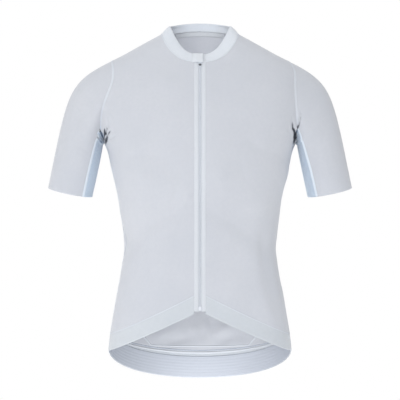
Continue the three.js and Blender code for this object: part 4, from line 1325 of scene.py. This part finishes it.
# %% Garage flap
GARAGE_FROM, GARAGE_TO, GARAGE_BOTTOM = -14.5 * MM, 5.5 * MM, -61.3 * MM
GARAGE_FLANK, GARAGE_CLOTH = 7 * MM, 0.9 * MM
CHEST_SHARE = 0.2
x, v = grid(np.linspace(GARAGE_FROM, GARAGE_TO, 41), np.linspace(0, 1, 46))
lift = mix(0.45, 2.4, soft((x - GARAGE_FROM) / GARAGE_FLANK)) * MM
side, across = side_of(x), np.abs(x)
at_neck = np.arccos(across / NECK_HALF_WIDTH)
z = mix(GARAGE_BOTTOM, neck_at(at_neck)[0], np.minimum(v / CHEST_SHARE, 1))
up_collar = np.clip((v - CHEST_SHARE) / (1 - CHEST_SHARE), 0, 1)


def flap(off):
    """The chest's surface below the neckline and the collar's above it, moved out by off."""
    chest = torso(z, angle_at(across, z), side, off)
    stand = collar(at_neck, np.arccos(across / COLLAR_HALF_WIDTH), up_collar, side, off)
    return np.where((v <= CHEST_SHARE)[..., None], chest, stand)


wall("zip_garage_flap", flap(lift + GARAGE_CLOTH), flap(lift), collar_knit)

# %% [markdown]
# ## Seams
#
# The panels are joined with flat seams: a low welt of lighter thread, two or three millimetres wide.
# A seam is a path with the normals of the cloth on its two sides. A low profile in those directions
# is carried along it, and small stitches sit on both of its edges.

# %% Welts and stitches
WELT_ACROSS = np.array([-1, -0.8, -0.4, 0, 0.4, 0.8, 1, 0.5, -0.5])
WELT_UP = np.array([-0.1, 0.8, 1, 1, 1, 0.8, -0.1, -0.7, -0.7])
STITCH_PITCH = 2.4 * MM
STITCH_HALF_LENGTH = 0.85 * MM
STITCH_RADIUS = 0.2 * MM
rows_of_stitches = {}


def add_stitches(name, spots, along, out):
    """Keeps a row of stitches, which is joined later with the other rows of its name."""
    bar = (spots, along, out, STITCH_HALF_LENGTH, STITCH_RADIUS)
    rows_of_stitches.setdefault(name.rstrip("_0123456789"), []).append(bar)


def seam(name, path, normal_a, normal_b, half_width, height, material, closed=False, rows=(-0.72, 0.72)):
    """Puts the welt's points at path + across * half width + up * height. Left of the middle the
    directions are those of the first cloth, right of it those of the second. A row of stitches lies
    at each share of the half width in rows."""
    way = unit(np.roll(path, -1, 0) - np.roll(path, 1, 0)) if closed else unit(np.gradient(path, axis=0))
    to_a, to_b = unit(np.cross(normal_a, way)), unit(np.cross(way, normal_b))
    middle = unit(normal_a + normal_b)

    def rail(share):
        lean = unit(mix(middle, normal_a if share < 0 else normal_b, min(abs(share), 1)))
        return path + (to_a * -min(share, 0) + to_b * max(share, 0)) * half_width, lean

    rings = np.stack([rail(a)[0] + rail(a)[1] * (u * height) for a, u in zip(WELT_ACROSS, WELT_UP)])
    run = lengths_along(path, 0)
    uv = np.stack(np.broadcast_arrays((WELT_ACROSS * half_width)[:, None], run), axis=-1)
    put_tube("seam_" + name, rings, material, closed, uv)
    for share in rows:
        line, lean = rail(share)
        top = line + lean * (height * (1 - 0.25 * abs(share)))
        spots, along = spaced(top, STITCH_PITCH, STITCH_PITCH * 0.5)
        run = lengths_along(top, 0)
        at = np.interp(STITCH_PITCH * (0.5 + np.arange(len(spots))), run, np.arange(len(run)))
        out = lean[np.minimum(np.round(at).astype(int), len(lean) - 1)]
        out = unit(out - along * (out * along).sum(-1, keepdims=True))
        add_stitches(name, spots, along, out)


def with_normal(surface, *place):
    """A surface's points and outward normals at a place."""
    low, high = surface(*place, off=0.0), surface(*place, off=1 * MM)
    return low, unit(high - low)


def seam_on(name, surface, place, half_width, height, material):
    """A seam that has the same surface on both of its sides."""
    path, normal = with_normal(surface, *place)
    seam(name, path, normal, normal, half_width, height, material)


# %% [markdown]
# The armhole seam is a closed loop. Its torso side lies inwards, so the order of the two sides turns
# round with the side of the body. The mesh edges and the side seams lie on one surface each.

# %% Seams of the arms and sides
for side, word in SIDES:
    phi = np.linspace(0, TURN, 260, endpoint=False)
    path, on_torso = with_normal(torso, *armhole_at(phi, side), side)
    on_sleeve = with_normal(sleeve, phi, 0.02 + 0 * phi, side)[1]
    pair = (on_torso, on_sleeve) if side > 0 else (on_sleeve, on_torso)
    seam(f"armhole_{word}", path, *pair, 2.3 * MM, 0.4 * MM, armhole_thread, closed=True)
    s = np.linspace(0, 1, 90)
    for edge, start, end in (
        ("front", MESH_FRONT_PHI, MESH_PANEL_AT_CUFF),
        ("back", MESH_BACK_PHI - TURN, -MESH_PANEL_AT_CUFF),
    ):
        phi = mix(start, end, s**MESH_PANEL_WIDENING)
        seam_on(f"mesh_{word}_{edge}", sleeve, (phi, s, side), 2.7 * MM, 0.4 * MM, mesh_thread)
    z = np.linspace(float(band_top_z(np.array(0.0))), PIT_Z, 150)
    seam_on(f"side_{word}", torso, (z, 0 * z, side), 1.3 * MM, 0.35 * MM, welt_thread)
    place = (*shoulder_seam(np.linspace(0, 1, 50), side), side)
    seam_on(f"shoulder_{word}", torso, place, 1.2 * MM, 0.35 * MM, welt_thread)

# %% Seams of the neck, the hems and the pockets
def round_the_back(start, end, count):
    """Angles from start to end on the wearer's right and back to start on the left, and their sides."""
    angles = np.concatenate([np.linspace(start, end, count), np.linspace(end, start, count)[1:]])
    return angles, row_sides(len(angles), count)


alpha_path, neck_side = round_the_back(NECK_START, -QUARTER, 120)
path, below = with_normal(torso, *neck_at(alpha_path), neck_side)
above = with_normal(collar, alpha_path, top_angle(alpha_path), 0 * alpha_path, neck_side)[1]
seam("neck", path, below, above, 1.7 * MM, 0.5 * MM, welt_thread)
for side, word in SIDES:
    place = (*front_lower(np.linspace(0, 1, 120), np.zeros(120)), side)
    seam_on(f"hem_front_{word}", torso, place, 1.0 * MM, 0.5 * MM, welt_thread)
across = np.linspace(-1, 1, 240)
place = (*back_lower(np.abs(across), 0 * across), side_of(across))
seam_on("hem_back", torso, place, 1.0 * MM, 0.5 * MM, welt_thread)


def pocket_seam(name, across, up, off, half_width, height):
    """A seam on a pocket, at signed shares of the half back, shares of the height and a distance out."""
    z, angle = back_lower(np.abs(across), up)
    normal = with_normal(torso, z, angle, side_of(across))[1]
    seam(name, torso(z, angle, side_of(across), off), normal, normal, half_width, height, welt_thread)


POCKET_EDGE = POCKET_GAP + POCKET_CLOTH
MOUTH_ROWS = ((0.94, 0.8 * MM), (0.995, 1.3 * MM))
for number, across in enumerate(POCKET_EDGES):
    up = np.linspace(0, POCKET_TOP, 90)
    pocket_seam(f"pocket_{number}", np.full(90, across), up, POCKET_EDGE, 1.2 * MM, 0.35 * MM)
for number, (_, start, end) in enumerate(POCKETS):
    share = np.linspace(0.02, 0.98, 80)
    for row, (rise, half_width) in enumerate(MOUTH_ROWS):
        across, up = mix(start, end, share), np.full(80, POCKET_TOP * rise)
        off = POCKET_EDGE + gape(share, rise)
        pocket_seam(f"mouth_{number * 2 + row}", across, up, off, half_width, 0.3 * MM)

# %% [markdown]
# Inside the back, the hem carries a gripper: an elastic band with fine ribs of silicone that keep the
# jersey from riding up. Above it the seam of the hem band shows, with a thin strip of painted shadow
# just above that seam, and the seams that hold the bottoms of the pockets, whose corners are cut across.

# %% Inside the hem
GRIPPER_HEIGHT, GRIPPER_DEPTH, GRIPPER_THICK = 43 * MM, -1.25 * MM, 0.6 * MM
GRIPPER_ABOVE_HEM, GRIPPER_BELOW_SEAM = 1.2 * MM, 3 * MM
RIBS, RIB_RAISE, RIBS_REACH = 7, 0.14 * MM, 0.44
u, v = grid(np.linspace(-1, 1, 161), np.linspace(0, 1, 45))
angle = -mix(QUARTER, 0, np.abs(u))
low = hem_z(angle) + GRIPPER_ABOVE_HEM
height_here = np.minimum(GRIPPER_HEIGHT, band_top_z(angle) - hem_z(angle) - GRIPPER_BELOW_SEAM)
z = mix(low, hem_z(angle) + height_here, v)
ribs = RIB_RAISE * np.clip(np.sin(v * TURN * RIBS), 0, 1) ** 0.5 * (np.abs(v - 0.5) < RIBS_REACH)
outer = torso(z, angle, side_of(u), GRIPPER_DEPTH)
inner = torso(z, angle, side_of(u), GRIPPER_DEPTH - GRIPPER_THICK - ribs)
wall("hem_gripper", outer, inner, gripper_band)

# The line that holds the bottoms of the pockets: x and z of its corners, in millimetres.
corners = np.array([
    (-126, -577), (-113, -600), (-98, -618.5), (-50, -621), (0, -621.5), (50, -621), (98, -618.5),
    (113, -600), (126, -577),
]) * MM
share = np.linspace(0, len(corners) - 1, 40 * len(corners))
x, z = (np.interp(share, np.arange(len(corners)), column) for column in corners.T)
side, angle = side_of(x), -angle_at(x, z)
inwards = -with_normal(torso, z, angle, side)[1]
path = torso(z, angle, side, -CLOTH)
seam("inside_pockets", path, inwards, inwards, 1.6 * MM, 0.35 * MM, armhole_thread, rows=(-0.6, 0.6))

INSIDE_HEM_START = 0.25
INSIDE_HEM_ROWS = (
    # how far below the band's top, distance out, half width, height, finish
    (2.5 * MM, -BAND_CLOTH + BAND_RAISE, 2.0 * MM, 0.5 * MM, welt_thread),
    # The second row is a thin dark strip of painted shadow just above the band's seam.
    (-2.2 * MM, -CLOTH, 1.3 * MM, 0.3 * MM, painted_shadow_line),
)
angle, side = round_the_back(-INSIDE_HEM_START, -QUARTER, 100)
z = band_top_z(angle)
inwards = -with_normal(torso, z, angle, side)[1]
for row, (drop, off, half_width, height, finish) in enumerate(INSIDE_HEM_ROWS):
    path = torso(z - drop, angle, side, off)
    seam(f"inside_hem_{row}", path, inwards, inwards, half_width, height, finish)

# %% Stitches on the bindings and the collar, and all the rows as joined meshes
for side, word in SIDES:
    for share in (0.3, 0.8):
        x = side * mix(ZIP_INNER_EDGE, ZIP_OUTER_EDGE, share)
        line = centre_front(x, np.linspace(STRIP_START, 1.98, 700), dome(share))
        spots, along = spaced(line, STITCH_PITCH)
        out = unit(np.cross(np.broadcast_to(ACROSS, along.shape), along))
        add_stitches("binding_" + word, spots, along, out)
for name, groups in rows_of_stitches.items():
    put_bars("stitches_" + name, groups, thread)

# %% [markdown]
# ## Naming what each piece stands for
#
# Every piece rides on the garment, apart from the pull tab, which swings. Each cut piece replaces its
# solid, and the table lists its flat size: the width and length of the cloth that it was cut from, a
# little narrower than it is when worn, because knit stretches on the figure.

# %% The table of pieces
CUT_PIECES = [
    # piece, solid it stands for, finish, flat width and length in metres, flat area in square metres
    ("front_right_cut", "front_right", "main_knit", (0.235, 0.652), 0.111),
    ("front_left_cut", "front_left", "main_knit", (0.235, 0.652), 0.111),
    ("back_cut", "back", "main_knit", (0.485, 0.66), 0.245),
    ("pocket_right_cut", "pocket_right", "main_knit", (0.098, 0.19), 0.0165),
    ("pocket_centre_cut", "pocket_centre", "main_knit", (0.147, 0.19), 0.0262),
    ("pocket_left_cut", "pocket_left", "main_knit", (0.098, 0.19), 0.0165),
    ("hem_front_right_cut", "hem_front_right", "hem_band", (0.23, 0.034), 0.0068),
    ("hem_front_left_cut", "hem_front_left", "hem_band", (0.23, 0.034), 0.0068),
    ("hem_back_cut", "hem_back", "hem_band", (0.49, 0.053), 0.0226),
    ("hem_gripper", None, "hem_band", (0.49, 0.043), 0.0185),
    ("sleeve_right_cut", "sleeve_right", "main_knit", (0.335, 0.293), 0.0545),
    ("sleeve_left_cut", "sleeve_left", "main_knit", (0.335, 0.293), 0.0535),
    ("underarm_right_cut", "underarm_right", "mesh", (0.104, 0.142), 0.0101),
    ("underarm_left_cut", "underarm_left", "mesh", (0.104, 0.142), 0.0101),
    ("collar_cut", "collar", "collar_knit", (0.485, 0.038), 0.0101),
    ("zip_garage_flap", "zip_garage", "collar_knit", (0.021, 0.032), 0.0006),
]
SMALL_PIECES = [
    # piece, solid it stands for, finish
    ("neck_tape_cut", "neck_tape", "trim_tape"),
    ("zip_binding_right_cut", "zip_binding_right", "trim_tape"),
    ("zip_binding_left_cut", "zip_binding_left", "trim_tape"),
    ("zip_tape", None, "trim_tape"),
    ("zip_coil", "zip_chain", "zip_coil"),
    ("zip_foot_box", "zip_box", "zip_plastic"),
    ("zip_slider_plate", "zip_slider", "slider_metal"),
    ("zip_slider_bridge", "zip_bridge", "slider_metal"),
    ("zip_pull", "zip_tab", "tab_metal"),
]
slots = {name: (node, slot) for name, node, slot, *_ in CUT_PIECES + SMALL_PIECES}
for name, piece in pieces.items():
    node, slot = slots.get(name, (None, "trim_tape"))
    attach(piece, "pull_tab" if name == "zip_pull" else "garment")
    if node:
        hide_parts(node)
triangles = {name: sum(len(p.vertices) - 2 for p in piece.data.polygons) for name, piece in pieces.items()}
print(len(pieces), "pieces,", sum(triangles.values()), "triangles, the largest", max(triangles.values()))

# %% [markdown]
# The floor is a flat pale disc well below the hem. It isn't part of the garment.

# %% Floor
FLOOR_Z = -1.0
FLOOR_RADIUS = 2.4
turn, reach = grid(np.linspace(0, TURN, 96, endpoint=False), np.linspace(0.001, 1, 12))
x, y = np.cos(turn) * reach * FLOOR_RADIUS, np.sin(turn) * reach * FLOOR_RADIUS
ground = np.stack([x, y, FLOOR_Z + 0 * reach], axis=-1)
put_mesh("floor", ground.reshape(-1, 3), grid_faces(96, 12, wrap=True), floor_finish)
